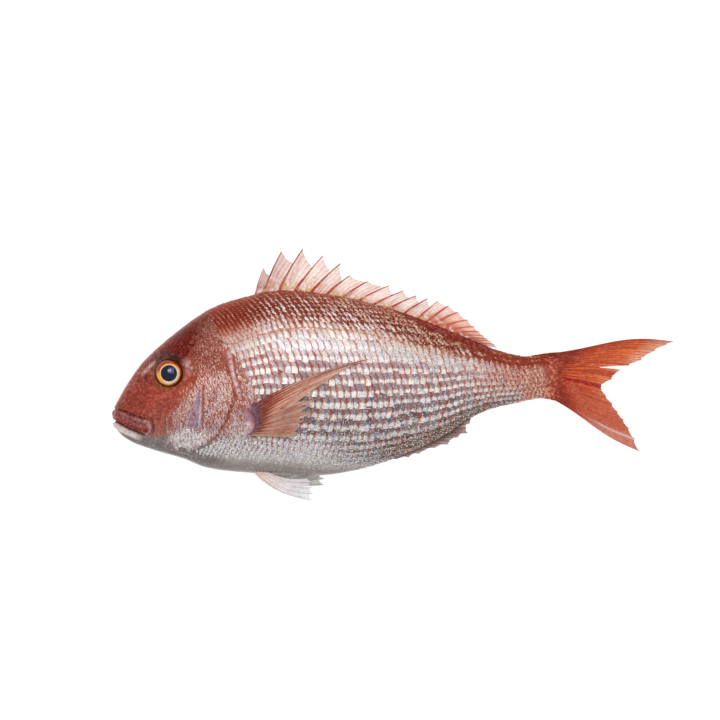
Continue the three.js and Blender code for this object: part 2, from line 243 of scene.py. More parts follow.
EYE_SPOT = (35.9, 16.7)
NOSTRIL = {"spot": (20.9, 14.6), "radii": (0.9, 1.3), "tilt": 0}
FRONT_NOSTRIL = {"spot": (16.6, 12), "radii": (0.7, 0.5), "tilt": 30}
FIN_PAD = {"spot": (87, -12.5), "radii": (5.4, 10), "tilt": 4}
CRESCENT = rounded(
    [(80.8, -2.6), (84.6, -4.8), (88.6, -9.2), (91, -14), (90.6, -17.4), (88.4, -20), (83.6, -22)]
)
NOSE_STREAK = rounded([(17.4, 13.4), (20.6, 17.2), (24, 20.8), (28.4, 24.6)])
SHOULDER_STREAK = rounded([(72.6, 33), (74.4, 24), (76.6, 14), (79.4, 5), (81.4, -1)])
PLATE_REAR = rounded([(56.2, 15), (56, 4), (55.4, -8), (54.4, -19)])
SHOULDER_EDGE = through([(-1, 81.4), (5, 79.4), (14, 76.6), (24, 74.4), (33, 72.6)])  # x from y
SHOULDER_WIDTH = through([(-1, 8), (14, 7), (26, 4), (34, 0)])  # of the small scales behind that edge


def line_ends(share, length=0.12):
    """Fades a fold out at both ends of its line."""
    return ramp(0, length, share) * ramp(1, 1 - length, share)


def from_lip(x, y):
    """Distance from the middle of the upper lip in halves of its width, the side, and the share along it."""
    away, side, share = from_line(LIP_LINE, x, y)
    return away / (LIP_HALF[0] + (LIP_HALF[1] - LIP_HALF[0]) * share), side, share


def from_eye(x, y):
    """Distance from the middle of the eye in millimetres."""
    return np.hypot(x - EYE_SPOT[0], y - EYE_SPOT[1])


def plate_mask(x, y):
    """The bare blade-shaped plate at the rear of the cheek."""
    front = PLATE_FRONT(y)
    return ramp(front - 0.5, front + 0.5, x) * ramp(57.2, 56.2, x) * ramp(-20, -17, y) * ramp(13, 9, y)


# %% How far the folds stand out
FOLDS = [  # line, height and width in mm, share that fades out at the ends, side that it keeps to
    (JAW_CREASE, -0.9, 0.7, 0.2, 0), (JAW_CREASE, 0.5, 2.2, 0.3, 1),
    (CHEEK_EDGE, 0.5, 5, 0.2, -1), (CHEEK_EDGE, -0.35, 1.6, 0.2, 1),
    (GILL_EDGE, 0.7, 8, 0.12, -1), (GILL_EDGE, -0.7, 2.4, 0.12, 1),
    (THROAT_FOLD, -0.5, 0.7, 0.25, 0),
]
LIP_HEIGHT, UNDER_LIP_HEIGHT, PAD_HEIGHT = 1.3, 1.1, 1.2
MOUTH_DEPTH, LIP_FOLD_DEPTH, PLATE_DEPTH = 2.3, 0.9, 0.3
SOCKET_DEPTH, NOSTRIL_DEPTH, FRONT_NOSTRIL_DEPTH = 5, 1.5, 0.8
SOCKET_RIM, NOSTRIL_RIM = 0.7, 0.35


def streak(x, y, line, height, width, fade=0.12, side=0):
    """A soft ridge along a line; side 1 or -1 keeps it to the left or the right of the line."""
    away, on, share = from_line(line, x, y)
    kept = {0: 1, 1: on >= 0, -1: on < 0}[side]
    return height * ridge(away, width) * line_ends(share, fade) * kept


def mouth_relief(x, y):
    """The rolled upper lip and the fold over it, the cut of the mouth, and the lower lip."""
    lip, _, _ = from_lip(x, y)
    mouth, side, share = from_line(MOUTH_LINE, x, y)
    over, _, over_share = from_line(LIP_FOLD, x, y)
    return (
        LIP_HEIGHT * np.sqrt(np.clip(1 - lip**2, 0, 1)) * ramp(-2, 8, x)
        - LIP_FOLD_DEPTH * ridge(over, 0.6) * ramp(1, 0.85, over_share)
        - MOUTH_DEPTH * ridge(mouth, 0.6) * ramp(1, 0.92, share)
        + UNDER_LIP_HEIGHT * ridge(mouth - 2.2, 1.5) * (side < 0) * ramp(1, 0.8, share)
    )


def head_relief(x, y):
    """How far all the folds of the head stand out of the plain loft, in millimetres."""
    eye, nostril = from_eye(x, y), from_spot(x, y, **NOSTRIL)
    return (
        mouth_relief(x, y)
        + sum(streak(x, y, *fold) for fold in FOLDS)
        - PLATE_DEPTH * plate_mask(x, y)
        - SOCKET_DEPTH * ramp(9.4, 7.2, eye)
        + SOCKET_RIM * ridge(eye - 10.6, 1.5)
        - NOSTRIL_DEPTH * ramp(1.2, 0.7, nostril)
        + NOSTRIL_RIM * ridge(nostril - 1.5, 0.4)
        - FRONT_NOSTRIL_DEPTH * ramp(1.3, 0.6, from_spot(x, y, **FRONT_NOSTRIL))
        + PAD_HEIGHT * ramp(1.2, 0.4, from_spot(x, y, **FIN_PAD))
    )


print("the gill cover ends", GILL_EDGE[:, 0].max().round(1), "mm behind the snout")

# %% Places on the finished skin
REST_LIFT = 1.05  # the skin stays this far off the surface, so that the scales under the fish have room
REST_EASE = 2.0
HIDDEN_FIN = {"spot": (121, 1), "radii": (46, 22), "tilt": 20}
HIDDEN_FIN_ROOM = 2.2
NUDGE_X, NUDGE_WAY = 0.5, 0.004  # how far to either side the slope of the skin is taken


def eased_above(value, floor):
    """The larger of value and floor, rounded off where they meet."""
    over = np.clip(value - floor, -REST_EASE, REST_EASE)
    return np.where(value - floor > REST_EASE, value, floor + (over + REST_EASE) ** 2 / (4 * REST_EASE))


def rest_height(x, y):
    """The lowest the skin may lie: on the surface, or over the breast fin that is caught under the fish."""
    return REST_LIFT + HIDDEN_FIN_ROOM * ramp(1.1, 0.9, from_spot(x, y, **HIDDEN_FIN))


def skin_point(x, way, side):
    """Points and outward normals of the skin at x along the fish and way round it; side is 1 for left."""

    def plain(x, way):
        return np.stack([x, look_up(HEIGHTS, x, way), middle(x) + side * look_up(BULGES, x, way)], -1)

    along = plain(np.minimum(x + NUDGE_X, SKIN_LENGTH), way) - plain(np.maximum(x - NUDGE_X, 0), way)
    across = plain(x, np.minimum(way + NUDGE_WAY, 1)) - plain(x, np.maximum(way - NUDGE_WAY, -1))
    normal = side * np.cross(along, across)
    normal /= np.linalg.norm(normal, axis=-1, keepdims=True)
    point = plain(x, way)
    point = point + normal * head_relief(point[..., 0], point[..., 1])[..., None]
    point[..., 2] = eased_above(point[..., 2], rest_height(point[..., 0], point[..., 1]))
    return point, normal


# %% [markdown]
# ## Making pieces
# Each piece of the fish is a mesh made from arrays. Facts about each point of it, such as how far along
# the fish it is or how far out on its own scale, go with it as attributes, and the materials read them.
# A flat map of the piece, which other programs need for painted textures, is made with it too.

# %% A helper that makes a mesh and hangs it on the fish


def add_piece(name, points, faces, material, nodes=(), facts=None, flat_map=None):
    """A mesh from points in fish millimetres, riding on the fish's body."""
    mesh = bpy.data.meshes.new(name)
    places = (np.asarray(points, float).reshape(-1, 3) + FISH_ORIGIN) * MM
    corners = faces.shape[1]
    mesh.vertices.add(len(places))
    mesh.vertices.foreach_set("co", places.ravel())
    mesh.loops.add(faces.size)
    mesh.loops.foreach_set("vertex_index", faces.ravel())
    mesh.polygons.add(len(faces))
    mesh.polygons.foreach_set("loop_start", np.arange(0, faces.size, corners))
    mesh.polygons.foreach_set("use_smooth", np.full(len(faces), True))
    mesh.update(calc_edges=True)
    for fact, values in (facts or {}).items():
        attribute = mesh.attributes.new(fact, "FLOAT", "POINT")
        attribute.data.foreach_set("value", np.asarray(values, np.float32).ravel())
    if flat_map is not None:
        mesh.uv_layers.new(name="OFBake").uv.foreach_set("vector", np.asarray(flat_map, np.float32).ravel())
    mesh.materials.append(material)
    piece = bpy.data.objects.new(name, mesh)
    bpy.context.scene.collection.objects.link(piece)
    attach(piece, BODY)
    if nodes:
        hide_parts(*nodes)
    print(name, len(places), "points,", len(faces), "faces")
    return piece


def grid_faces(rows, columns, close=False):
    """Four-cornered faces between the points of a grid; close joins the last column to the first."""
    i, j = np.meshgrid(np.arange(rows - 1), np.arange(columns - (not close)), indexing="ij")
    k = (j + 1) % columns
    faces = [i * columns + j, (i + 1) * columns + j, (i + 1) * columns + k, i * columns + k]
    return np.stack(faces, -1).reshape(-1, 4)


def grid_map(rows, columns, low=(0, 0), high=(1, 1), close=False):
    """The flat map of those faces: the grid spread evenly over the rectangle from low to high."""
    i, j = np.meshgrid(np.arange(rows - 1), np.arange(columns - (not close)), indexing="ij")
    across = np.stack([i, i + 1, i + 1, i], -1) / (rows - 1)
    up = np.stack([j, j, j + 1, j + 1], -1) / (columns - (not close))
    spread = np.stack([across, up], -1).reshape(-1, 4, 2)
    return np.array(low) + spread * (np.array(high) - low)


# %% [markdown]
# ## Words for wiring shaders
# A material is a small machine of nodes. Wiring it by hand takes many lines that say little, so this
# helper has short words for what the materials do again and again: read a fact of the mesh, work out a
# number, pick a colour from a row of stops, blend two colours, or make soft noise.

# %% A helper that wires nodes


def paint(red, green, blue):
    """A colour as a painter's program shows it, from 0 to 255, turned into amounts of light."""
    share = np.array([red, green, blue]) / 255
    light = np.where(share <= 0.04045, share / 12.92, ((share + 0.055) / 1.055) ** 2.4)
    return (*light.tolist(), 1.0)


class Wires:
    """Short words for adding and joining the nodes of one tree."""

    def __init__(self, tree):
        self.tree = tree

    def feed(self, sockets, **values):
        """Joins sockets to others, or sets them to plain values, by name; a _ stands for a space."""
        for name, value in values.items():
            self.feed_one(sockets[name.replace("_", " ")], value)

    def feed_one(self, socket, value):
        if isinstance(value, bpy.types.NodeSocket):
            self.tree.links.new(value, socket)
        else:
            socket.default_value = value

    def add(self, kind, inputs, output, **settings):
        """A node with inputs fed by name or number, and the output that is asked for."""
        node = self.tree.nodes.new("ShaderNode" + kind)
        for name, value in settings.items():
            setattr(node, name, value)
        for name, value in inputs.items():
            self.feed_one(node.inputs[name], value)
        return node.outputs[output]

    def fact(self, name):
        return self.add("Attribute", {}, "Fac", attribute_name=name)

    def place(self):
        return self.add("TexCoord", {}, "Object")

    def work(self, operation, *values):
        return self.add("Math", dict(enumerate(values)), 0, operation=operation)

    def chain(self, operation, values):
        result = values[0]
        for value in values[1:]:
            result = self.work(operation, result, value)
        return result

    def times(self, *values):
        return self.chain("MULTIPLY", values)

    def plus(self, *values):
        return self.chain("ADD", values)

    def minus(self, value, less):
        return self.work("SUBTRACT", value, less)

    def most(self, *values):
        return self.chain("MAXIMUM", values)

    def away(self, value, centre=0.0):
        """How far a value is from a centre, to either side."""
        return self.work("ABSOLUTE", self.minus(value, centre))

    def lot(self, value, times):
        """Another random number from 0 to 1 out of one such number."""
        return self.work("FRACT", self.times(value, times))

    def rise(self, value, low, high):
        """A soft step from 0 to 1; low may be above high to turn it round."""
        inputs = {"Value": value, "From Min": low, "From Max": high}
        return self.add("MapRange", inputs, "Result", interpolation_type="SMOOTHSTEP")

    def step(self, fact, low, high):
        """That soft step over a fact of the mesh."""
        return self.rise(self.fact(fact), low, high)

    def span(self, value, low, high, to_low, to_high):
        """A straight slope from one range to another."""
        inputs = {"Value": value, "From Min": low, "From Max": high, "To Min": to_low, "To Max": to_high}
        return self.add("MapRange", inputs, "Result")

    def sway(self, noise, most):
        """Noise turned into a wander to either side of 0."""
        return self.span(noise, 0.3, 0.7, -most, most)

    def slide(self, share, at_none, at_all):
        """From one value to another as a share goes from 0 to 1."""
        return self.span(share, 0, 1, at_none, at_all)

    def blend(self, share, first, second):
        return self.add("Mix", {0: share, 6: first, 7: second}, 2, data_type="RGBA")

    def multiply(self, share, first, second):
        return self.add("Mix", {0: share, 6: first, 7: second}, 2, data_type="RGBA", blend_type="MULTIPLY")

    def layers(self, color, laid):
        """Lays (mask, red, green, blue) over a first colour, one after the other."""
        for mask, *over in laid:
            color = self.blend(mask, color, paint(*over))
        return color

    def stops(self, value, stops):
        """Picks by a value from 0 to 1 from stops: (place, number) or (place, red, green, blue)."""
        node = self.tree.nodes.new("ShaderNodeValToRGB")
        marks = node.color_ramp.elements
        while len(marks) < len(stops):
            marks.new(0.5)
        for mark, (place, *color) in zip(marks, stops):
            mark.position = place
            mark.color = paint(*color) if len(color) == 3 else (*color * 3, 1)
        self.feed_one(node.inputs["Fac"], value)
        return node.outputs["Color"]

    def noise(self, scale, detail=2.0, roughness=0.5, place=None):
        inputs = {"Vector": place or self.place(), "Scale": scale, "Detail": detail, "Roughness": roughness}
        return self.add("TexNoise", inputs, "Fac")

    def patches(self, scale, detail, roughness, low, high):
        """Noise cut to patches with soft edges."""
        return self.rise(self.noise(scale, detail, roughness), low, high)

    def bump(self, height, distance, strength=1.0, normal=None):
        inputs = {"Height": height, "Distance": distance, "Strength": strength}
        if normal is not None:
            inputs["Normal"] = normal
        return self.add("Bump", inputs, "Normal")


def new_group(name, inputs, outputs):
    """A shader node group with the named sockets, and its wires, inputs and output node."""
    tree = bpy.data.node_groups.new(name, "ShaderNodeTree")
    for socket, kind, value in inputs:
        made = tree.interface.new_socket(socket, in_out="INPUT", socket_type="NodeSocket" + kind)
        made.default_value = value
    for socket, kind in outputs:
        tree.interface.new_socket(socket, in_out="OUTPUT", socket_type="NodeSocket" + kind)
    wires = Wires(tree)
    print("group", name, "with", len(inputs), "inputs and", len(outputs), "outputs")
    return tree, wires, tree.nodes.new("NodeGroupInput").outputs, tree.nodes.new("NodeGroupOutput").inputs


def place_group(wires, tree, **values):
    """One use of a group with its own values; the outputs come back by name."""
    node = wires.tree.nodes.new("ShaderNodeGroup")
    node.node_tree = tree
    wires.feed(node.inputs, **values)
    return node.outputs


def new_material(name):
    """A material, its wires and its main shader."""
    material = bpy.data.materials.new(name)
    material.use_nodes = True
    print("material", name)
    return material, Wires(material.node_tree), material.node_tree.nodes["Principled BSDF"].inputs


# %% [markdown]
# ## Wet, mottled skin
# Two effects run through every part of a wet fish. The colour is never even: it is freckled at half a
# millimetre and drifts over centimetres. And the film of slime that gives the gloss lies thicker in one
# place than in another. Each is a group, so that every material can have it in its own strength.

# %% Group: freckles in a colour
FRECKLES, w, given, made = new_group(
    "freckles",
    [("Color", "Color", (0.5, 0.5, 0.5, 1)), ("Dark", "Color", (0.1, 0.02, 0.01, 1)),
     ("Light", "Color", (0.9, 0.8, 0.7, 1)), ("Strength", "Float", 0.5), ("Scale", "Float", 900.0)],
    [("Color", "Color"), ("Height", "Float")],
)
fine = w.noise(given["Scale"], 3, 0.65)
clouds = w.noise(420, 4, 0.7)
broad = w.noise(120, 3, 0.6)
color = given["Color"]
for spots, share, laid in [
    (w.rise(fine, 0.5, 0.36), 1.0, "Dark"),
    (w.rise(fine, 0.54, 0.68), 1.0, "Light"),
    (w.rise(clouds, 0.5, 0.64), 0.7, "Light"),
    (w.rise(clouds, 0.47, 0.36), 0.7, "Dark"),
    (w.rise(broad, 0.45, 0.64), 0.4, "Dark"),
]:
    color = w.blend(w.times(spots, given["Strength"], share), color, given[laid])
w.feed(made, Color=color, Height=fine)

# %% Group: the slime film's gloss
WET_FILM, w, given, made = new_group(
    "wet_film",
    [("Wet", "Float", 0.2), ("Dry", "Float", 0.5), ("Scale", "Float", 300.0)],
    [("Roughness", "Float"), ("Height", "Float")],
)
film = w.noise(given["Scale"], 3, 0.6)
drier = w.times(w.rise(film, 0.35, 0.7), w.minus(given["Dry"], given["Wet"]))
w.feed(made, Roughness=w.plus(drier, given["Wet"]), Height=film)

# %% A helper that makes a material wet


def wet_look(w, shader, color, height, relief, film, film_relief, **more):
    """Colour, gloss and relief; film is (wet, dry, scale), each relief is (distance, strength)."""
    wet, dry, scale = film
    film = place_group(w, WET_FILM, Wet=wet, Dry=dry, Scale=scale)
    normal = w.bump(height, *relief, w.bump(film["Height"], *film_relief))
    w.feed(shader, Base_Color=color, Roughness=film["Roughness"], Normal=normal, **more)


# %% [markdown]
# ## The colours round the fish
# A sea bream is dark red on the back, pink and silver on the flank and grey white under the belly. The
# bare skin and the scales share these colours, so one group gives them at every place, from the height
# round the flank and the distance from the snout. Towards the tail the red comes down the side. Each stop
# below has its place round the flank, from 0 at the belly's edge to 1 at the back's, and its colour there.
# Light is painted into the stops too. The silver holds the painted reflection of a scale's bright half
# and, high on the back, white painted glints. The shade holds the painted shade of its upper half. Both
# get darker towards the belly's very edge as painted shade.

# %% Stops round the flank
PIGMENT_STOPS = [
    (0, 140, 130, 124), (0.08, 140, 124, 118), (0.15, 126, 104, 98), (0.22, 132, 64, 48),
    (0.5, 164, 66, 44), (0.64, 178, 60, 34), (0.69, 190, 106, 90), (0.75, 184, 106, 90),
    (0.79, 140, 54, 30), (0.86, 116, 30, 10), (0.94, 132, 42, 20), (1, 156, 72, 46),
]
SILVER_STOPS = [
    (0, 134, 128, 124), (0.08, 150, 145, 142), (0.14, 194, 191, 190), (0.22, 208, 207, 212),
    (0.36, 235, 232, 232), (0.5, 250, 246, 242), (0.63, 242, 237, 232), (0.72, 228, 224, 222),
    (0.78, 240, 240, 242), (0.82, 255, 255, 255), (0.92, 246, 238, 232), (1, 210, 156, 130),
]
# the shade colour is the painted shade of a scale's upper half; the silver's bright half is a painted
# reflection
SHADE_STOPS = [
    (0, 118, 112, 107), (0.08, 134, 129, 126), (0.14, 162, 158, 159), (0.2, 86, 80, 91),
    (0.34, 84, 74, 86), (0.5, 132, 114, 123), (0.63, 142, 122, 134), (0.69, 186, 178, 188),
    (0.76, 190, 168, 166), (0.82, 160, 100, 80), (1, 150, 70, 46),
]
WIDTH_STOPS = [  # of the red mark, as a share of the scale that shows
    (0, 0), (0.13, 0), (0.2, 0.21), (0.3, 0.28), (0.4, 0.29), (0.5, 0.28), (0.64, 0.25),
    (0.69, 0.15), (0.75, 0.2), (0.79, 0.37), (0.84, 0.48), (0.9, 0.52), (1, 0.6),
]
SHADING_STOPS = [  # how strongly the upper half of a scale is shaded
    (0, 0), (0.13, 0.1), (0.2, 0.8), (0.3, 1), (0.62, 0.95), (0.68, 0.6), (0.76, 0.5), (0.82, 0.4),
    (1, 0.8),
]
NARROW_STOPS = [(0, 0), (0.74, 0), (0.82, 1), (1, 1)]  # 1 where the mark leaves only a painted glint
# how strongly painted glitter of white and dark flecks lies on the silver
SPARKLE_STOPS = [
    (0, 0.2), (0.1, 0.4), (0.16, 1), (0.26, 0.8), (0.4, 0.4), (0.5, 0.3), (0.7, 0.3), (0.8, 0.25),
    (1, 0.3),
]
print("stops round the flank:", len(PIGMENT_STOPS), len(SILVER_STOPS), len(SHADE_STOPS))

# %% Group: colours round the flank
FLANK_COLORS, w, given, made = new_group(
    "flank_colors",
    [],
    [("Pigment", "Color"), ("Silver", "Color"), ("Shade", "Color"), ("Width", "Float"),
     ("Stripe", "Float"), ("Narrow", "Float"), ("Speckle", "Float")],
)
along = w.times(w.fact("along"), SKIN_LENGTH)
height = w.fact("height")


def zone(alongs, heights, strength=1):
    """A soft-edged part of the flank, by millimetres from the snout and by height."""
    return w.times(w.rise(along, *alongs), w.rise(height, *heights), strength)


wander = w.sway(w.noise(60, 2), 0.04)
tail_lift = w.times(w.rise(along, 150, 235), 0.14)
belly_lift = zone((128, 180), (-0.3, -0.75), 0.3)
up = w.span(w.plus(height, wander, tail_lift, belly_lift), -1, 1, 0, 1)

# where the red comes down the side, and where gold, dusk and brightness lie over it: the gold near the
# tail and on the rear back colours painted glints golden, rear_belly is painted shade low on the belly's
# rear, and front_belly lightens the shade colour on the front of the belly above its edge
all_round = w.rise(along, 248, 262)
tail_red = w.times(w.rise(along, 205, 258), w.most(w.rise(height, -0.9, 0.1), all_round))
ragged = w.plus(along, w.sway(w.noise(150, 3), 5))
gold_patches = w.patches(300, 3, 0.6, 0.42, 0.56)
tail_gold = w.times(w.rise(ragged, 256, 266), w.rise(ragged, 277, 271), gold_patches, 0.6)
tail_end = w.rise(ragged, 268, 274)
nape_red = zone((102, 78), (0.4, 0.58))
nape_dark = zone((84, 58), (0.4, 0.6))
shoulder_red = zone((100, 72), (-0.5, -0.2), 0.32)
rear_back = zone((165, 210), (0.35, 0.6), 0.5)
rear_belly = w.times(zone((140, 185), (-0.5, -0.82)), w.rise(along, 262, 236))
front_belly = w.times(zone((150, 118), (-0.46, -0.6), 0.85), w.rise(height, -0.84, -0.66))
redden = w.most(w.times(tail_red, 0.9), shoulder_red, w.times(nape_red, 0.9))

# the three colours
pigment = w.layers(w.stops(up, PIGMENT_STOPS), [(tail_red, 140, 44, 26)])
silver = w.layers(w.stops(up, SILVER_STOPS), [
    (redden, 200, 134, 114), (nape_dark, 192, 108, 90), (rear_back, 222, 168, 120),
    (rear_belly, 138, 124, 114), (tail_gold, 250, 200, 156), (tail_end, 172, 76, 56),
])
shade = w.layers(w.stops(up, SHADE_STOPS), [
    (redden, 160, 84, 66), (rear_belly, 74, 62, 56), (front_belly, 204, 200, 200),
])
w.feed(made, Pigment=pigment, Silver=silver, Shade=shade)

# the marks' measures; bright_back narrows the back's marks to leave larger painted glints
rear_lines = zone((145, 190), (0.0, 0.4), 0.07)
bright_back = w.times(zone((110, 150), (0.45, 0.62), 0.06), w.rise(along, 210, 190))
wider = w.plus(w.times(tail_red, 0.14), w.times(nape_red, 0.06), rear_lines)
rear_sparkle = w.times(w.rise(along, 140, 205), w.span(height, -0.2, 0.5, 0.2, 0.4))
sparkle = w.plus(w.stops(up, SPARKLE_STOPS), rear_sparkle)
w.feed(
    made,
    Width=w.plus(w.stops(up, WIDTH_STOPS), w.minus(wider, bright_back)),
    Stripe=w.times(w.stops(up, SHADING_STOPS), w.slide(tail_red, 1, 0.5)),
    Narrow=w.stops(up, NARROW_STOPS),
    Speckle=w.times(sparkle, w.slide(tail_end, 1, 0.1)),
)

# %% [markdown]
# ## The bare skin
# The snout, lips and forehead carry no scales: the skin there is smooth, dark red and mottled. Facts
# worked out with the mesh tell the material where lips, folds, plate and socket are, and each one lays
# its own colour over the red. Some of these are painted light: painted shade in the folds, above the eye
# and along the rear belly's edge, and painted highlights in pale streaks and spots and at the tail's root.

# %% Colours of the bare skin
HEAD_STOPS = [
    (0, 150, 138, 132), (0.3, 150, 84, 74), (0.5, 166, 72, 52), (0.7, 142, 50, 32), (0.85, 116, 34, 20),
    (1, 146, 66, 52),
]
# painted shade among these: the dark band along the top of the eye, the dark lines in the folds, and the
# darker rear belly's edge
LAID_EVENLY = {
    "snout": (138, 54, 44), "forehead": (92, 4, 0), "grey": (112, 106, 106), "sheath": (114, 24, 12),
    "margin": (150, 64, 50), "pad": (172, 136, 150), "lip": (120, 32, 32), "pale_lip": (222, 212, 210),
    "socket": (110, 80, 46), "lid_shade": (30, 12, 22), "vent": (110, 90, 82), "tail_end": (160, 60, 44),
    "crease_shade": (52, 14, 12),
}
# the pale streaks and spots here are mostly painted highlights; the shoulder's streak is partly the gill
# membrane's pale edge
LAID_UNEVENLY = {
    "membrane": (168, 84, 70), "plate": (154, 156, 180), "crescent": (78, 48, 74),
    "highlights_and_pale_edges": (240, 222, 224),
}
print("places with a colour of their own:", len(LAID_EVENLY) + len(LAID_UNEVENLY))

# %% Material: skin
SKIN, w, shader = new_material("bare_skin")
up = w.span(w.fact("height"), -1, 1, 0, 1)
body = place_group(w, FLANK_COLORS)
body_color = w.blend(w.span(body["Width"], 0, 0.6, 0.3, 1), body["Shade"], body["Pigment"])
color = w.blend(w.fact("head"), body_color, w.stops(up, HEAD_STOPS))
color = w.layers(color, [(w.fact(fact), *laid) for fact, laid in LAID_EVENLY.items()])
uneven = w.span(w.noise(420, 4, 0.7), 0.38, 0.62, 0.35, 1.25)
color = w.layers(color, [(w.times(w.fact(fact), uneven), *laid) for fact, laid in LAID_UNEVENLY.items()])
# painted golden glints on the skin at the tail's root
tail_glints = w.times(w.fact("tail_root"), w.patches(500, 3, 0.5, 0.46, 0.6))
calm = w.fact("calm")
freckled = place_group(
    w, FRECKLES, Scale=800.0,
    Color=w.blend(tail_glints, color, paint(224, 150, 116)),
    Dark=w.blend(calm, paint(84, 22, 14), paint(96, 84, 80)),
    Light=w.blend(calm, paint(214, 122, 104), paint(214, 208, 206)),
    Strength=w.times(w.slide(w.fact("forehead"), 0.5, 0.2), w.slide(calm, 1, 0.5)),
)
wet_look(
    w, shader, freckled["Color"], freckled["Height"],
    relief=(0.00015, 0.5), film=(0.16, 0.4, 260.0), film_relief=(0.0004, 0.4),
    Specular_IOR_Level=0.25, Specular_Tint=paint(255, 170, 150),
    Coat_Weight=0.2, Coat_Roughness=0.1, Coat_IOR=1.35,
)

# %% [markdown]
# ## A scale's colours and painted light
# Each scale is silver with a red or dark mark where it comes out from under the one before. On the
# flank its lower half is painted bright as a reflection and its upper half a darker grey as painted
# shade, so that the rows look like stripes. On the back the mark takes nearly all of the scale and leaves
# a painted glint, and painted glitter flecks the silver everywhere. The group reads where a point lies on
# its own scale, and the scale's own random number, so that no two look the same.

# %% Group: the marks of a scale
SCALE_MARKS, w, given, made = new_group(
    "scale_marks",
    [("Pigment", "Color", (0.3, 0.05, 0.02, 1)), ("Silver", "Color", (0.9, 0.9, 0.9, 1)),
     ("Shade", "Color", (0.4, 0.4, 0.4, 1)), ("Width", "Float", 0.3), ("Stripe", "Float", 1.0),
     ("Narrow", "Float", 0.0), ("Speckle", "Float", 0.5)],
    [("Color", "Color"), ("Mark", "Float"), ("Height", "Float")],
)
behind, across, luck = w.fact("behind"), w.fact("across"), w.fact("luck")
narrow, shading_share, sparkle = given["Narrow"], given["Stripe"], given["Speckle"]
fine = w.noise(1150, 2, 0.6)
coarse = w.noise(420, 2, 0.6)
uneven, other, warmth = w.lot(luck, 7), w.lot(luck, 31), w.lot(luck, 53)

# the mark: where it ends behind the scale before, frayed, wider in the half with painted shade
fray = w.plus(w.sway(fine, 0.13), w.sway(coarse, 0.1))
fray = w.times(fray, w.slide(sparkle, 0.4, 1.2))
shaded = w.times(w.rise(across, -0.3, 0.0), shading_share, w.slide(narrow, 1, 0))
curved = w.work("MULTIPLY_ADD", w.away(across), w.slide(narrow, -0.3, 1.6), 1.0)
least, most = w.slide(narrow, 0.7, 0.75), w.slide(narrow, 1.15, 1.4)
own_width = w.times(curved, w.slide(luck, least, most), w.slide(shaded, 0.8, 1.2))
edge = w.minus(w.plus(behind, fray), w.times(given["Width"], own_width))
faded = w.most(narrow, w.span(w.plus(other, coarse), 0.5, 1.4, 0.8, 1.0))
mark = w.times(w.rise(edge, 0.08, -0.06), w.rise(given["Width"], 0.02, 0.12), faded)

# the silver: painted shade in its upper half and in dull spots, and painted glitter of dark and white flecks
tilted = w.times(w.minus(behind, 0.6), w.slide(uneven, -0.2, 1.0))
level = w.plus(across, w.times(fray, 1.5), tilted)
painted_shade = w.times(w.rise(level, -0.3, 0.1), shading_share, w.slide(other, 0.8, 1))
dull_share = w.times(w.span(shading_share, 0.3, 0.9, 0.9, 0.4), w.slide(narrow, 1, 0.3))
dull = w.times(w.rise(coarse, 0.48, 0.6), dull_share)
dull = w.most(dull, w.times(w.rise(uneven, 0.5, 1), 0.2))
pepper = w.times(w.rise(fine, 0.48, 0.36), sparkle)
salt = w.times(w.rise(fine, 0.54, 0.66), sparkle)
color = w.blend(w.most(painted_shade, dull), given["Silver"], given["Shade"])
color = w.blend(w.times(pepper, 0.7), color, w.multiply(1.0, given["Shade"], paint(132, 132, 150)))
color = w.blend(w.times(salt, 0.9), color, paint(255, 253, 250))

# the back's painted glints are broken up, more so towards the tail, half of them dimmed, and every scale has
# a tint of its own
rearward = w.slide(w.step("along", 0.5, 0.72), 0.2, 0.4)
broken = w.times(w.patches(640, 2, 0.6, 0.51, 0.45), narrow, rearward)
color = w.blend(broken, color, given["Pigment"])
color = w.multiply(w.times(narrow, w.span(other, 0, 0.5, 0.9, 0.0)), color, paint(214, 156, 128))
color = w.multiply(0.5, color, w.blend(warmth, paint(255, 249, 236), paint(238, 241, 253)))

# the mark's own colour, paler beside the half that is painted bright as a reflection
bright_half = w.times(w.minus(1, shaded), shading_share, w.slide(narrow, 0.6, 0))
pigment = w.blend(bright_half, given["Pigment"], paint(212, 144, 108))
pigment = w.blend(w.times(salt, 0.4), pigment, given["Silver"])
pigment = w.multiply(w.times(pepper, 0.5), pigment, paint(120, 110, 80))
w.feed(made, Color=w.blend(mark, color, pigment), Mark=mark, Height=fine)

# %% What both kinds of scales share


def finish_scale(w, shader, marks, color, silver, wet, dry, coat):
    """A little metal in the silver of a scale, a film of slime and a thin coat."""
    wet_look(
        w, shader, color, marks["Height"],
        relief=(0.0002, 0.6), film=(wet, dry, 500.0), film_relief=(0.0003, 0.6),
        Metallic=w.slide(marks["Mark"], silver, 0.0), Specular_IOR_Level=0.25,
        Specular_Tint=paint(255, 196, 180), Coat_Weight=coat, Coat_Roughness=0.12,
    )


# %% Material: flank scales
SCALE, w, shader = new_material("flank_scale")
body = place_group(w, FLANK_COLORS)
marks = place_group(w, SCALE_MARKS, **{name: body[name] for name in body.keys()})
halo = w.times(w.fact("lateral"), w.patches(420, 3, 0.5, 0.4, 0.6), 0.5)
line = w.times(w.step("lateral", 0.8, 0.97), w.patches(600, 2, 0.5, 0.36, 0.56), 0.8)
# painted glints: golden white flecks high on the flank towards the rear
rear_glints = w.times(w.step("along", 0.36, 0.56), w.step("along", 0.82, 0.72), w.step("height", 0.3, 0.5))
glitter = w.times(w.patches(800, 2, 0.5, 0.56, 0.63), rear_glints, 0.45)
gold = w.times(w.patches(520, 3, 0.5, 0.5, 0.66), w.step("height", 0.35, 0.6), 0.4)
color = w.layers(marks["Color"], [(halo, 206, 160, 132), (line, 170, 96, 74), (glitter, 250, 228, 196)])
color = w.multiply(gold, color, paint(226, 184, 110))
finish_scale(w, shader, marks, color, silver=0.14, wet=0.2, dry=0.42, coat=0.06)

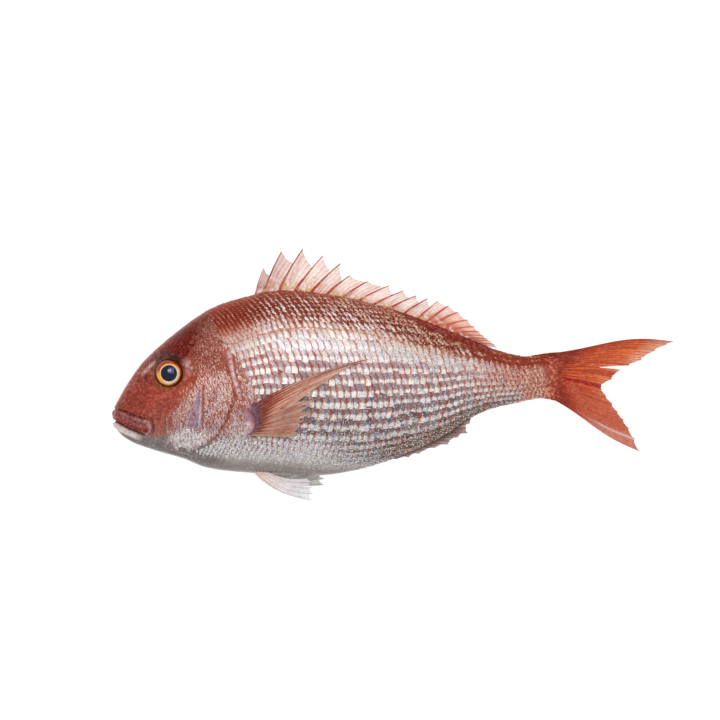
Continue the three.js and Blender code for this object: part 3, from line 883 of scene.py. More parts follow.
# %% Material: small scales
SMALL_PIGMENT_STOPS = [
    (0.18, 120, 104, 104), (0.3, 122, 52, 42), (0.5, 150, 48, 28), (0.7, 114, 28, 14), (0.85, 88, 18, 10),
]
SMALL_SILVER_STOPS = [
    (0.18, 214, 208, 208), (0.3, 208, 164, 160), (0.5, 244, 204, 188), (0.62, 224, 162, 146),
    (0.7, 204, 134, 118), (0.78, 184, 108, 92), (0.9, 160, 84, 66),
]
SMALL, w, shader = new_material("cheek_scale")
height = w.fact("height")
up = w.span(height, -1, 1, 0, 1)
young = w.fact("young")
white_patches = w.span(w.noise(230, 3, 0.6), 0.36, 0.6, 0.35, 1)
white = w.times(w.step("white", 0.1, 0.9), white_patches)
ruddy = w.times(w.patches(130, 3, 0.6, 0.47, 0.6), 0.6)
bluish = w.times(w.patches(190, 3, 0.6, 0.48, 0.58), w.rise(height, 0.15, -0.15), 0.5)
silver = w.layers(w.stops(up, SMALL_SILVER_STOPS), [
    (w.times(w.fact("dusky"), 0.75), 146, 66, 50), (w.step("pale", 0.1, 0.9), 240, 222, 216),
    (ruddy, 156, 74, 56), (bluish, 206, 200, 214), (white, 249, 250, 253),
])
pigment = w.layers(w.stops(up, SMALL_PIGMENT_STOPS), [(w.times(white, 0.85), 146, 138, 144)])
marks = place_group(
    w, SCALE_MARKS, Stripe=0.5, Narrow=0.4,
    Pigment=pigment,
    Silver=w.blend(young, silver, pigment),
    Shade=w.blend(0.5, pigment, silver),
    Width=w.slide(white, 0.56, 0.3),
    Speckle=w.span(young, 0, 0.75, 0.6, 0.1),
)
finish_scale(w, shader, marks, marks["Color"], silver=0.2, wet=0.18, dry=0.4, coat=0.1)

# %% [markdown]
# ## Fin skin and fin rays
# A fin's rays are horny and coloured, and the skin between them is so thin that the ground shows
# through. One group draws the rays where the mesh is ridged, adds the finer ones that the mesh leaves
# out, and says how clear the skin is; each fin gives it its own colours.

# %% Group: rays and web of a fin
FIN_WEB, w, given, made = new_group(
    "fin_web",
    [("Ray", "Color", (0.5, 0.1, 0.05, 1)), ("Web", "Color", (0.8, 0.5, 0.4, 1)),
     ("Clearness", "Float", 0.3), ("Fine Lines", "Float", 6.0), ("Fine Strength", "Float", 0.4)],
    [("Color", "Color"), ("Alpha", "Float"), ("Height", "Float")],
)
number, reach = w.fact("ray"), w.fact("reach")
lines, strength = given["Fine Lines"], given["Fine Strength"]
wobble = w.sway(w.noise(160, 2), 0.06)
phase = w.away(w.work("FRACT", w.times(w.plus(number, wobble), lines)), 0.5)
fine = w.times(w.rise(phase, 0.32, 0.46), strength, w.rise(reach, 0.02, 0.25))
ray = w.most(w.step("ridge", 0.12, 0.6), fine)
run = w.add("CombineXYZ", {"X": w.times(number, lines), "Y": w.times(reach, 2.5)}, "Vector")
streaks = w.noise(0.8, 3, 0.65, run)
color = w.blend(ray, given["Web"], given["Ray"])
color = w.blend(w.times(w.rise(streaks, 0.5, 0.36), strength), color, given["Ray"])
color = w.blend(w.times(w.rise(streaks, 0.53, 0.66), strength), color, given["Web"])
clear = w.times(w.slide(ray, 1, 0.25), given["Clearness"], w.span(reach, 0.1, 0.7, 0.1, 1))
w.feed(made, Color=color, Alpha=w.minus(1, clear), Height=w.plus(fine, w.times(w.noise(900, 3), 0.5)))

# %% Material: a fin's skin


def patch_mask(w, strength, fades):
    """Where a patch of colour lies: soft steps over facts, over the distance from a ray, or over noise."""
    parts = []
    for kind, *numbers in fades:
        if kind == "noise":
            parts.append(w.patches(*numbers))
        elif kind == "beside":
            centre, *edges = numbers
            parts.append(w.rise(w.away(w.fact("span"), centre), *edges))
        else:
            parts.append(w.step(kind, *numbers))
    return w.times(*parts, strength)


def fin_material(name, ray, web, clearness, lines, strength, patches=()):
    """A fin's material; ray and web are stops from foot to rim, a patch is (colour, strength, fades...)."""
    material, w, shader = new_material(name)
    reach = w.fact("reach")
    ray, web = w.stops(reach, ray), w.stops(reach, web)
    for laid, share, *fades in patches:
        mask = patch_mask(w, share, fades)
        web, ray = w.blend(mask, web, paint(*laid)), w.blend(w.times(mask, 0.4), ray, paint(*laid))
    parts = place_group(
        w, FIN_WEB, Ray=ray, Web=web, Clearness=clearness, Fine_Lines=lines, Fine_Strength=strength
    )
    freckled = place_group(
        w, FRECKLES, Color=parts["Color"], Strength=0.2, Scale=600.0,
        Dark=w.multiply(1.0, parts["Color"], paint(190, 140, 126)),
        Light=w.blend(0.4, parts["Color"], paint(255, 240, 226)),
    )
    wet_look(
        w, shader, freckled["Color"], parts["Height"],
        relief=(0.0002, 0.6), film=(0.25, 0.5, 350.0), film_relief=(0.0003, 0.4), Alpha=parts["Alpha"],
        Specular_IOR_Level=0.2, Specular_Tint=paint(255, 190, 170), Coat_Weight=0.05,
    )
    return material


# %% Materials: back fin and tail fin
BACK_FIN = fin_material(
    "back_fin_skin",
    ray=[(0, 172, 52, 34), (0.6, 188, 68, 48), (1, 184, 70, 52)],
    web=[(0, 222, 146, 116), (0.2, 248, 214, 194), (0.6, 255, 240, 230), (1, 250, 218, 204)],
    clearness=0.56, lines=4.0, strength=0.4,
    patches=[
        ((252, 162, 114), 0.75, ("span", 0.5, 0.7)),
        ((186, 108, 102), 0.8, ("span", 0.14, 0.02)),
        ((212, 92, 52), 1, ("span", 0.45, 0.65), ("reach", 0.8, 0.3)),
        ((190, 70, 42), 1, ("span", 0.6, 0.85), ("reach", 0.9, 0.4)),
        ((220, 184, 116), 0.8, ("noise", 230, 2, 0.5, 0.48, 0.55), ("reach", 0.5, 0.2)),
        ((252, 240, 244), 0.9, ("noise", 360, 2, 0.5, 0.55, 0.6), ("reach", 0.6, 0.25)),
    ],
)
TAIL_FIN = fin_material(
    "tail_fin_skin",
    ray=[(0, 124, 36, 26), (0.3, 142, 42, 30), (0.5, 176, 54, 30), (1, 196, 74, 40)],
    web=[(0, 140, 50, 36), (0.3, 164, 62, 42), (0.5, 222, 100, 50), (0.85, 240, 122, 58), (1, 242, 160, 116)],
    clearness=0.14, lines=5.0, strength=0.8,
    patches=[
        # the first patch is painted golden glints at the fin's foot
        ((236, 168, 128), 1, ("noise", 420, 3, 0.6, 0.48, 0.58), ("reach", 0.17, 0.1), ("span", 0.1, 0.25)),
        ((214, 114, 92), 0.55, ("span", 0.5, 0.7), ("reach", 0.3, 0.6)),
        ((214, 164, 148), 0.6, ("span", 0.86, 0.96), ("reach", 0.35, 0.7)),
        ((130, 40, 34), 0.8, ("span", 0.04, 0.0)),
        ((250, 196, 168), 0.7, ("span", 0.3, 0.2), ("reach", 0.82, 0.98)),
        ((250, 214, 204), 1, ("beside", 0.93, 0.016, 0.004), ("reach", 0.55, 0.7)),
        ((166, 0, 6), 2.4, ("beside", 0.505, 0.026, 0.006), ("reach", 0.1, 0.6)),
        ((166, 30, 22), 0.6, ("beside", 0.66, 0.018, 0.002), ("reach", 0.4, 0.8)),
        ((166, 30, 22), 0.5, ("beside", 0.57, 0.014, 0.002), ("reach", 0.2, 0.4), ("reach", 0.9, 0.6)),
        ((160, 30, 24), 0.7, ("beside", 0.4, 0.03, 0.005), ("reach", 0.35, 0.8)),
    ],
)

# %% Materials: the fins below
BREAST_FIN = fin_material(
    "breast_fin_skin",
    ray=[(0, 126, 92, 112), (0.04, 104, 64, 76), (0.1, 116, 56, 50), (0.2, 134, 52, 38),
         (0.5, 152, 62, 46), (1, 186, 104, 82)],
    web=[(0, 150, 118, 138), (0.05, 128, 86, 98), (0.11, 136, 76, 66), (0.2, 170, 92, 72),
         (0.35, 232, 170, 144), (1, 252, 214, 194)],
    clearness=0.5, lines=0.8, strength=0.65,
    patches=[
        ((188, 148, 130), 0.65, ("span", 0.4, 0.65), ("reach", 0.1, 0.35)),
        ((240, 196, 160), 0.7, ("beside", 0.46, 0.03, 0.01), ("reach", 0.2, 0.5)),
        ((216, 180, 140), 0.7, ("span", 0.85, 0.97)),
    ],
)
BELLY_FIN = fin_material(
    "belly_fin_skin",
    ray=[(0, 214, 166, 154), (0.4, 234, 224, 226), (1, 240, 240, 246)],
    web=[(0, 244, 228, 222), (0.4, 255, 254, 255), (1, 252, 253, 255)],
    clearness=0.8, lines=3.0, strength=0.3,
    patches=[
        ((230, 170, 152), 0.3, ("span", 0.5, 0.1), ("reach", 0.9, 0.4)),
        # painted shade on the right fin, which lies under the fish
        ((170, 162, 136), 0.7, ("under", 0, 1)),
    ],
)
ANAL_FIN = fin_material(
    "anal_fin_skin",
    ray=[(0, 74, 48, 44), (0.5, 100, 58, 52), (1, 140, 96, 88)],
    web=[(0, 84, 64, 60), (0.5, 122, 96, 90), (1, 190, 170, 164)],
    clearness=0.2, lines=3.0, strength=0.5,
)

# %% [markdown]
# ## Wet eyes
# The eye is a clear dome over a ring of gold and orange round a blue black pupil. From above one sees
# the colours through the dome, so they can be painted on it by the distance from its middle, with a
# clear coat for the wet surface on top. The ring is darker on one side and paler on the other, and a
# catchlight is painted on the pupil.

# %% Material: eye
EYE_STOPS = [
    (0, 10, 12, 40), (0.54, 10, 12, 38), (0.57, 80, 50, 30), (0.6, 250, 220, 160), (0.66, 236, 170, 80),
    (0.74, 206, 106, 30), (0.84, 178, 66, 16), (0.91, 110, 34, 14), (0.95, 56, 30, 22), (1, 40, 24, 20),
]
DARK_SIDE, GOLD_SIDE = math.radians(140), math.radians(228)
EYE, w, shader = new_material("wet_eye")
radius, sweep = w.fact("radius"), w.fact("turn")
streaks = w.times(w.sway(w.noise(420, 4, 0.7), 0.1), w.rise(radius, 0.5, 0.85))
dark_side = w.work("COSINE", w.minus(sweep, DARK_SIDE))
gold_side = w.work("COSINE", w.minus(sweep, GOLD_SIDE))
dark = w.times(w.rise(dark_side, 0.0, 0.9), w.rise(radius, 0.6, 0.72), w.rise(radius, 0.95, 0.9), 0.75)
gold = w.times(w.rise(gold_side, 0.3, 0.95), w.rise(radius, 0.62, 0.7), w.rise(radius, 0.9, 0.82), 0.8)
pale = w.times(w.rise(dark_side, 0.1, -0.6), w.rise(radius, 0.56, 0.6), w.rise(radius, 0.8, 0.72), 0.8)
aside = w.away(w.times(radius, w.work("COSINE", sweep)), 0.16)
above = w.away(w.times(radius, w.work("SINE", sweep)), 0.2)
# a painted catchlight on the pupil
glint = w.times(w.rise(aside, 0.24, 0.12), w.rise(above, 0.26, 0.12), 0.8)
color = w.layers(w.stops(w.plus(radius, streaks), EYE_STOPS), [
    (dark, 140, 34, 10), (gold, 252, 184, 84), (pale, 250, 234, 210), (glint, 92, 96, 150),
])
w.feed(
    shader,
    Base_Color=color,
    Roughness=w.slide(radius, 0.06, 0.2),
    Normal=w.bump(w.noise(600, 3), 0.0001, 0.15),
    Specular_IOR_Level=0.1, Coat_Weight=1.0, Coat_Roughness=0.03, Coat_IOR=1.33,
)

# %% [markdown]
# ## The skin
# A loft of rings from snout to tail carries everything else. The head has no large scales to hide it, so
# its rings stand half a millimetre apart, close enough for the folds; along the trunk, under the scales,
# they can be wider. Each coloured place of the head is a soft mask over the skin, drawn with the same
# lines and spots as the folds, so that colour and shape fit each other.

# %% Lines between the colours of the head
GREY_LINE = through(
    [(0, -17), (8, -20), (20, -22.4), (35, -23.6), (50, -25), (62, -27), (72, -25), (90, -27)]
)
NAPE_LINE = through([(20, 74), (31, 71), (37, 68), (44, 64), (56, 58), (70, 51)])  # x from y
NAPE_FROM = 31  # the nape line bounds the head above this y, and the gill cover's edge below it
SHEATH_DEPTH = through([(160, 0), (176, 1.5), (190, 4.5), (208, 7.5), (224, 6.5), (238, 3), (256, 0)])
print("the nape's bare skin ends", round(float(NAPE_LINE(NAPE_FROM))), "mm behind the snout")

# %% Where each colour of the head goes


def mouth_masks(x, y):
    """The dark upper lip and the pale lower one."""
    lip, _, _ = from_lip(x, y)
    mouth, mouth_side, mouth_share = from_line(MOUTH_LINE, x, y)
    below = (mouth_side < 0) * ramp(0.98, 0.7, mouth_share)
    return {
        "lip": ramp(1.04, 0.86, lip) * (mouth_side > 0),
        "pale_lip": ramp(4.6, 3.4, mouth) * ramp(0.2, 0.7, mouth) * below,
    }


def highlights_and_pale_edges(x, y):
    """Pale streaks and spots, mostly painted highlights: over the nostril, along the shoulder, on the plate's
    edges and the lip.
    """
    lip, side, share = from_lip(x, y)
    pale = (
        streak(x, y, NOSE_STREAK, 0.7, 1.0, 0.3)
        + streak(x, y, SHOULDER_STREAK, 1.2, 1.0, 0.15)
        + streak(x, y, PLATE_REAR, 0.8, 0.45, 0.2)
        + 0.6 * plate_mask(x, y) * ridge(x - PLATE_FRONT(y) - 0.9, 0.5)
        + 0.9 * ramp(1.2, 0.5, from_spot(x, y, (85.4, -16.6), (3, 4.4)))
        + 0.35 * ramp(1.2, 0.4, from_spot(x, y, (48.5, 21), (3.2, 6.5), 20))
        + 0.22 * ridge(lip - 0.62, 0.2) * (side > 0) * ramp(0.15, 0.5, share)
        + 0.16 * ridge(lip, 0.3) * ramp(0.1, 0.5, share)
        + 0.4 * ridge(lip - 0.85, 0.1) * ramp(0.8, 0.97, share)
    )
    return np.clip(pale, 0, 1)


def painted_crease_shade(x, y):
    """Painted shade in dark lines where the skin folds in: mouth, creases, nostril, the eye's rim, the gill
    cover's edge.
    """
    mouth, _, share = from_line(MOUTH_LINE, x, y)
    over, _, over_share = from_line(LIP_FOLD, x, y)
    dark = (
        ridge(mouth, 0.75) * ramp(1, 0.9, share)
        + 0.9 * ridge(over, 0.8) * ramp(1, 0.8, over_share)
        + streak(x, y, JAW_CREASE, 0.8, 0.8, 0.2)
        + streak(x, y, GILL_EDGE, 0.4, 0.6, side=1)
        + 0.9 * ramp(1.25, 0.8, from_spot(x, y, **NOSTRIL))
        + ramp(8.6, 7.6, from_eye(x, y))
    )
    return np.clip(dark, 0, 1)


def head_masks(x, y, way):
    """Soft masks, each from 0 to 1, for the parts of the head and the other bare places, painted shade and
    highlights among them.
    """
    gill, gill_side, gill_share = from_line(GILL_EDGE, x, y)
    nape, grey, shoulder = NAPE_LINE(y), GREY_LINE(x), SHOULDER_EDGE(y)
    calm_belly = ramp(-0.5, -0.65, way) * ramp(80, 100, x) * ramp(262, 240, x)
    under_back_fin = (back(x) - y) / (SHEATH_DEPTH(x) + 0.3)
    behind_gill = ramp(0.2, 1, gill) * (gill_side > 0) * ramp(shoulder + 3, shoulder + 1.5, x)
    return mouth_masks(x, y) | {
        "head": np.where(y > NAPE_FROM, ramp(nape + 2, nape - 3, x), gill_side < 0) * (x < 80),
        "snout": ramp(30, 16, x) * ramp(-0.6, -0.2, way),
        "forehead": ramp(1.3, 0.6, from_spot(x, y, (48, 37), (27, 9), 38)),
        "grey": ramp(grey + 4, grey - 2.5, y) * ramp(80, 60, x),
        "calm": np.maximum(ramp(grey + 2, grey - 2, y) * ramp(110, 90, x), calm_belly),
        "sheath": ramp(1.15, 0.85, under_back_fin) * ramp(165, 180, x) * ramp(262, 250, x),
        "margin": 0.5 * ridge(gill - 0.6, 0.9) * (gill_side < 0) * ramp(6, -2, y) * line_ends(gill_share),
        "plate": 0.85 * plate_mask(x, y) * ramp(14, 0, y),
        "highlights_and_pale_edges": highlights_and_pale_edges(x, y),
        "membrane": behind_gill * ramp(-4, 2, y) * ramp(36, 30, y),
        "pad": ramp(1.45, 0.95, from_spot(x, y, **FIN_PAD)),
        "crescent": streak(x, y, CRESCENT, 1, 3, 0.2, 1) + streak(x, y, CRESCENT, 1, 1.5, 0.2, -1),
        "socket": 0.8 * ramp(11.4, 9.6, from_eye(x, y)),
        # painted shade along the top of the eye's socket
        "lid_shade": ridge(from_eye(x + 1.4, y - 2) - 9.4, 2.3) * ramp(1, 6, y - EYE_SPOT[1]),
        "tail_root": ramp(264, 268, x) * ramp(280, 274, x),
        # painted shade along the rear belly's edge
        "vent": ramp(140, 165, x) * ramp(-0.8, -0.92, way) * ramp(262, 240, x),
        "tail_end": ramp(271, 275, x),
        "crease_shade": painted_crease_shade(x, y),
    }


# %% Build the skin
HEAD_END = 88
HEAD_RINGS, TRUNK_RINGS = 176, 78
HALF_ROUND = 150
SNOUT_CROWDING = 1.35


def build_skin():
    """The loft from snout to tail, up the left side and down the right one."""
    head = HEAD_END * np.linspace(0, 1, HEAD_RINGS) ** SNOUT_CROWDING
    rings = np.concatenate([head, np.linspace(HEAD_END, SKIN_LENGTH, TRUNK_RINGS)[1:]])
    ways = np.linspace(-1, 1, HALF_ROUND + 1)
    x, way = np.meshgrid(rings, ways, indexing="ij")

    def all_round(left, right):
        return np.concatenate([left, right[:, -2:0:-1]], 1)

    left, right = skin_point(x, way, 1)[0], skin_point(x, way, -1)[0]
    masks = head_masks(x, look_up(HEIGHTS, x, way), way)
    facts = {name: all_round(mask, mask) for name, mask in masks.items()}
    facts |= {"along": all_round(x, x) / SKIN_LENGTH, "height": all_round(way, way)}
    columns = 2 * HALF_ROUND
    faces = grid_faces(len(rings), columns, close=True)
    flat_map = grid_map(len(rings), columns, close=True)
    add_piece("skin", all_round(left, right), faces, SKIN, ["trunk"], facts, flat_map)


build_skin()

# %% [markdown]
# ## Scales
# A scale is a thin horny plate rooted in the skin at its front edge, lying over the one behind like a
# roof tile. Rows run along the fish, every second row half a scale further back, and the rows get
# narrower towards back and belly. Each scale here is a small curved grid laid on the skin: its root dips
# under, its rear edge stands off with a rim.

# %% Where the flank's scales grow
SCALE_PITCH = through(  # from one scale of a row to the next
    [(45, 2.3), (62, 2.6), (80, 3), (92, 3.5), (105, 4.1), (120, 4.25), (150, 3.8), (185, 3.75),
     (215, 3.7), (245, 3), (284, 2.4)]
)
ROW_SPREAD = through(  # the rows' width, as a share of that at the thickest part of the fish
    [(45, 0.52), (70, 0.72), (85, 0.84), (100, 0.95), (120, 1), (155, 1), (190, 0.86), (215, 0.69),
     (245, 0.46), (284, 0.38)]
)
ROW_WIDTH = 7.1
ROW_REACH = 110
BACK_FINENESS, BELLY_FINENESS = 0.44, 0.54
FINER_FROM, FINER_TO = 24, 44  # how far from the middle the rows begin and end to get finer
FLANK_START, FLANK_END = 46, 280
PLACES_ALONG = 2400
SLANT = through(  # how far the edge of a scale leans back with its height
    [(-1, -0.2), (-0.4, -0.1), (-0.1, 0.15), (0.1, 0.32), (0.3, 0.36), (0.5, 0.5), (0.65, 0.85), (1, 0.8)]
)


def row_list():
    """Middle, width and fineness of every row at the thickest part of the fish, belly to back."""
    rows = []
    for sign, finest in ((-1, BELLY_FINENESS), (1, BACK_FINENESS)):
        edge = 0.0
        while edge < ROW_REACH:
            fineness = 1 - (1 - finest) * float(ramp(FINER_FROM, FINER_TO, np.array(edge)))
            width = ROW_WIDTH * fineness
            rows.append((sign * (edge + width / 2), width, fineness))
            edge += width
    return sorted(rows)


def flank_roots():
    """Root x, run round the skin, row width and pitch of each flank scale."""
    x = np.linspace(FLANK_START, FLANK_END, PLACES_ALONG)
    columns = np.concatenate([[0], np.cumsum(np.diff(x) / SCALE_PITCH(x[:-1]))])
    roots = []
    for row, (centre, width, fineness) in enumerate(row_list()):
        tight = 0.6 + 0.4 * fineness  # fine rows are shorter in pitch too, but less so
        places = np.arange(0, columns[-1], tight) + 0.5 * tight * (row % 2)
        root_x = np.interp(places, columns, x)
        spread = ROW_SPREAD(root_x)
        roots.append(np.stack([root_x, centre * spread, width * spread, tight * SCALE_PITCH(root_x)], -1))
    return np.concatenate(roots)


def behind_head(x, y):
    """True where the flank's scales grow: behind the gill cover, and over the nape."""
    away, side, _ = from_line(GILL_EDGE, x, y)
    past_shoulder = x > SHOULDER_EDGE(y) + SHOULDER_WIDTH(y) + 1.2
    clear = np.where((y > -1) & (y < NAPE_FROM), past_shoulder, away > 1.7)
    by_fin = (x < 90) & (y < -1) & (y > -23.5)
    return np.where(y > NAPE_FROM, x > NAPE_LINE(y), (side > 0) & clear & (x > 50) & ~by_fin)


print("rows of scales on each flank:", len(row_list()))

# %% Faces of a field of scales


def scale_faces(count, rows, columns, flip):
    """Faces of many scales: the upper side of each, and a rim down from its rear edge."""
    rear = (rows - 1) * columns + np.arange(columns - 1)
    rim = np.stack([rear, rear + columns, rear + columns + 1, rear + 1], -1)
    one = np.concatenate([grid_faces(rows, columns), rim])
    each = (rows + 1) * columns
    return (np.arange(count)[:, None, None] * each + (one[:, ::-1] if flip else one)).reshape(-1, 4)


def scale_map(count, places, faces):
    """Their flat map: every scale has a square cell, and its points lie at these places in it."""
    cells = math.ceil(math.sqrt(count))
    cell = np.stack([np.arange(count) % cells, np.arange(count) // cells], -1)[:, None]
    return ((cell + places) / cells).reshape(-1, 2)[faces]


# %% Lay a field of scales
SCALE_U = np.array([0.3, 0.44, 0.56, 0.68, 0.8, 0.91, 1.0])  # from the hidden root to the rear edge
SCALE_V = np.array([-1, -0.78, -0.52, -0.26, 0, 0.26, 0.52, 0.78, 1])  # from the lower to the upper edge
LATERAL_LINE = through(
    [(76, 35), (90, 40), (117, 45), (136, 44.4), (165, 40), (192, 32.5), (224, 19), (272, 13)]
)
REAR_ROUNDING = 0.14
OVERLAP = 1.75
SCALE_SLOPE = 0.085
SCALE_BULGE, ROOT_DEPTH, RIM_DROP = 0.12, 0.12, 0.28
LEAN, SIZE = (0, 0.06), (1, 0.05)  # mean and spread over the scales
END_MARGIN = 0.5  # no scale reaches closer than this to the ends of the skin
CELL_MARGIN = 0.04  # left free round each scale on the flat map


def lay_scales(name, side, x, run, pitch, half, material, facts, us=SCALE_U, vs=SCALE_V, slope=SCALE_SLOPE):
    """One mesh of many scales. Every argument from x to half is an array with an entry for each scale."""
    count = len(x)
    u, v = (grid.ravel() for grid in np.meshgrid(us, vs, indexing="ij"))
    rear = slice(len(u) - len(vs), None)
    draw = np.random.default_rng(SEED + side)
    lean, size = (draw.normal(*about, count)[:, None] for about in (LEAN, SIZE))
    luck = draw.random(count)[:, None]
    x, run, pitch, half = (a[:, None] for a in (x, run, pitch, half))
    facts = {key: value[:, None] for key, value in facts.items()}
    flat, slant = facts.pop("flat"), facts.pop("slant")

    # each point's place on the skin, and how far it stands off
    outline = 1 - REAR_ROUNDING * v * v
    reach = OVERLAP * pitch * size * u * outline
    place_x = np.clip(x + reach - slant * v * half, END_MARGIN, SKIN_LENGTH - END_MARGIN)
    place_way = np.clip(way_round(place_x, run + v * half), -1, 1)
    point, normal = skin_point(place_x, place_way, side)
    lift = flat * (slope * reach + SCALE_BULGE * (1 - v * v) + lean * v * half) - ROOT_DEPTH
    upper = point + normal * lift[..., None]
    points = np.concatenate([upper, (upper - normal * RIM_DROP)[:, rear]], 1)

    faces = scale_faces(count, len(us), len(vs), flip=side < 0)
    in_cell = np.stack([(u - us[0]) / (1 - us[0]), (1 + v) / 2], -1) * (1 - 2 * CELL_MARGIN) + CELL_MARGIN
    flat_map = scale_map(count, np.concatenate([in_cell, in_cell[rear]]), faces)
    facts |= {
        "along": place_x / SKIN_LENGTH,
        "height": place_way,
        "behind": 1 - (1 - u) * OVERLAP * outline,
        "across": v,
        "luck": luck,
        "lateral": ridge(point[..., 1] - LATERAL_LINE(place_x), 1.9) * ramp(225, 170, place_x),
    }
    for key, value in facts.items():
        value = np.broadcast_to(value, lift.shape)
        facts[key] = np.concatenate([value, value[:, rear]], 1)
    return add_piece(name, points, faces, material, (), facts, flat_map)


# %% Cover both flanks
SCALE_EDGE = 0.985
ROW_OVERLAP = 0.6
LAST_SCALES, LAST_RAGGED = 269, 8  # the last scales end raggedly over so many millimetres
SHEATH_SPAN = (176, 240)


def flank_scales(side):
    """The large scales of one side."""
    x, run, width, pitch = flank_roots().T
    centre = x + 1.25 * pitch
    way = way_round(centre, run)
    y = look_up(HEIGHTS, centre, np.clip(way, -1, 1))
    pad = from_spot(centre, y, **FIN_PAD)
    sheath = (centre > SHEATH_SPAN[0]) & (centre < SHEATH_SPAN[1])
    sheath &= back(centre) - y < 0.8 * SHEATH_DEPTH(centre)
    end = LAST_SCALES + LAST_RAGGED * np.random.default_rng(SEED).random(len(centre))
    keep = (np.abs(way) < SCALE_EDGE) & behind_head(centre, y) & (pad > 1.1) & ~sheath & (centre < end)
    x, run, width, pitch, way, centre = (a[keep] for a in (x, run, width, pitch, way, centre))
    smooth = -0.84 - 0.4 * ramp(105, 190, centre)  # below this the belly is smooth
    facts = {
        "slant": SLANT(way),
        "flat": (ramp(smooth, smooth + 0.32, way) * 0.85 + 0.15) * ramp(284, 262, centre),
    }
    return lay_scales("flank_scales_" + SIDES[side], side, x, run, pitch, ROW_OVERLAP * width, SCALE, facts)


for side in SIDES:
    flank_scales(side)

# %% [markdown]
# ## Small scales of the cheek, gill cover and nape
# The cheek and the gill cover carry much smaller scales, in less even rows. They are laid the same way,
# only with a coarser grid each. They thin out towards the throat and the bare snout.

# %% Where the small scales grow
SMOOTH_FRONT = through(  # x from y: in front of it the skin is bare
    [(-30, 27), (-20, 26.5), (-13, 28), (-2, 35), (7, 40.5), (13, 46), (22, 45.5), (31, 44), (40, 47),
     (60, 55)]
)


def small_scales_grow(x, y):
    """True on the nape and gill cover, on the shoulder behind it and round the breast fin's pad."""
    gill, gill_side, _ = from_line(GILL_EDGE, x, y)
    behind = x - SHOULDER_EDGE(y)
    cover = np.where(y > NAPE_FROM, x < NAPE_LINE(y) + 1, (gill_side < 0) & (gill > 0.7))
    cover |= (y > -2) & (y < 32) & (behind > 1.8) & (behind < SHOULDER_WIDTH(y) + 2)
    by_fin = (gill_side > 0) & (gill > 1.1) & (x < 92) & (y < -1) & (y > -25)
    cover |= by_fin & (from_spot(x, y, **FIN_PAD) > 1.0)
    return cover & (x > SMOOTH_FRONT(y)) & (from_eye(x, y) > 12.2) & (plate_mask(x, y) < 0.3)


# %% Cover the cheek and the gill cover
SMALL_U = np.array([0.3, 0.65, 1.0])
SMALL_V = np.array([-1, -0.45, 0.45, 1])
SMALL_PITCH, SMALL_ROW, SMALL_SLOPE = 1.6, 1.4, 0.09
SMALL_ROWS = range(-33, 34)
SMALL_START, SMALL_END = 32, 92
X_SCATTER, RUN_SCATTER = 0.28, 0.24


def small_scales(side):
    """The small scales of one side."""
    draw = np.random.default_rng(SEED)
    roots = []
    for row in SMALL_ROWS:
        x = np.arange(SMALL_START, SMALL_END, SMALL_PITCH) + SMALL_PITCH / 2 * (row % 2)
        roots.append(np.stack([x, np.full_like(x, row * SMALL_ROW)], -1))
    x, run = np.concatenate(roots).T
    x = x + draw.normal(0, X_SCATTER, len(x))
    run = run + draw.normal(0, RUN_SCATTER, len(x))
    centre = x + SMALL_PITCH
    way = way_round(centre, run)
    y = look_up(HEIGHTS, centre, np.clip(way, -1, 1))
    near_front = centre - SMOOTH_FRONT(y)
    keep = small_scales_grow(centre, y) & (way < 0.95)
    keep &= draw.random(len(x)) < ramp(-0.8, -0.66, way)  # they thin out at the throat
    keep &= draw.random(len(x)) < ramp(-3, 13, near_front) ** 1.6  # the first ones stand apart
    x, run, y, centre, near_front = (a[keep] for a in (x, run, y, centre, near_front))
    pale_cheek = 0.6 * ramp(1.4, 0.4, from_spot(centre, y, (66, 6), (9, 16)))
    pale_shoulder = 0.7 * (centre > SHOULDER_EDGE(y) + 1) * ramp(-6, 2, y)
    white_jaw = ramp(1.4, 0.5, from_spot(centre, y, (47.5, -24.2), (13.5, 5.8), 10))
    white_cover = 0.5 * ramp(1.5, 0.6, from_spot(centre, y, (78, -20), (6, 8)))
    facts = {
        "slant": np.full(len(x), 0.2),
        "flat": 0.3 + 0.7 * ramp(0, 9, near_front),
        "young": ramp(14, 2, near_front) * 0.8,
        "dusky": ramp(1.5, 0.5, from_spot(centre, y, (62, 24), (13, 6.5), -25)),
        "pale": np.maximum(pale_cheek, pale_shoulder),
        "white": np.maximum(white_jaw, white_cover),
    }
    pitch, half = np.full(len(x), 1.15 * SMALL_PITCH), np.full(len(x), 1.05 * SMALL_ROW)
    name = "cheek_scales_" + SIDES[side]
    return lay_scales(name, side, x, run, pitch, half, SMALL, facts, SMALL_U, SMALL_V, SMALL_SLOPE)


for side in SIDES:
    small_scales(side)

# %% [markdown]
# ## Fins
# A fin is a row of rays with thin skin between them. The back fin's front rays are stiff, sharp spines,
# and its skin is cut in behind each one; soft rays split into finer ones towards the rim, which frays.
# Each fin here is a closed sheet, thick on its rays and thin between them.

# %% The columns and rays of a fin
SPINE_WEB = np.array([0, 0.03, 0.07, 0.14, 0.3, 0.5, 0.7, 0.84, 0.92, 0.97])
SOFT_WEB = np.linspace(0, 1, 12, endpoint=False)
SPLIT_FADE = 0.06


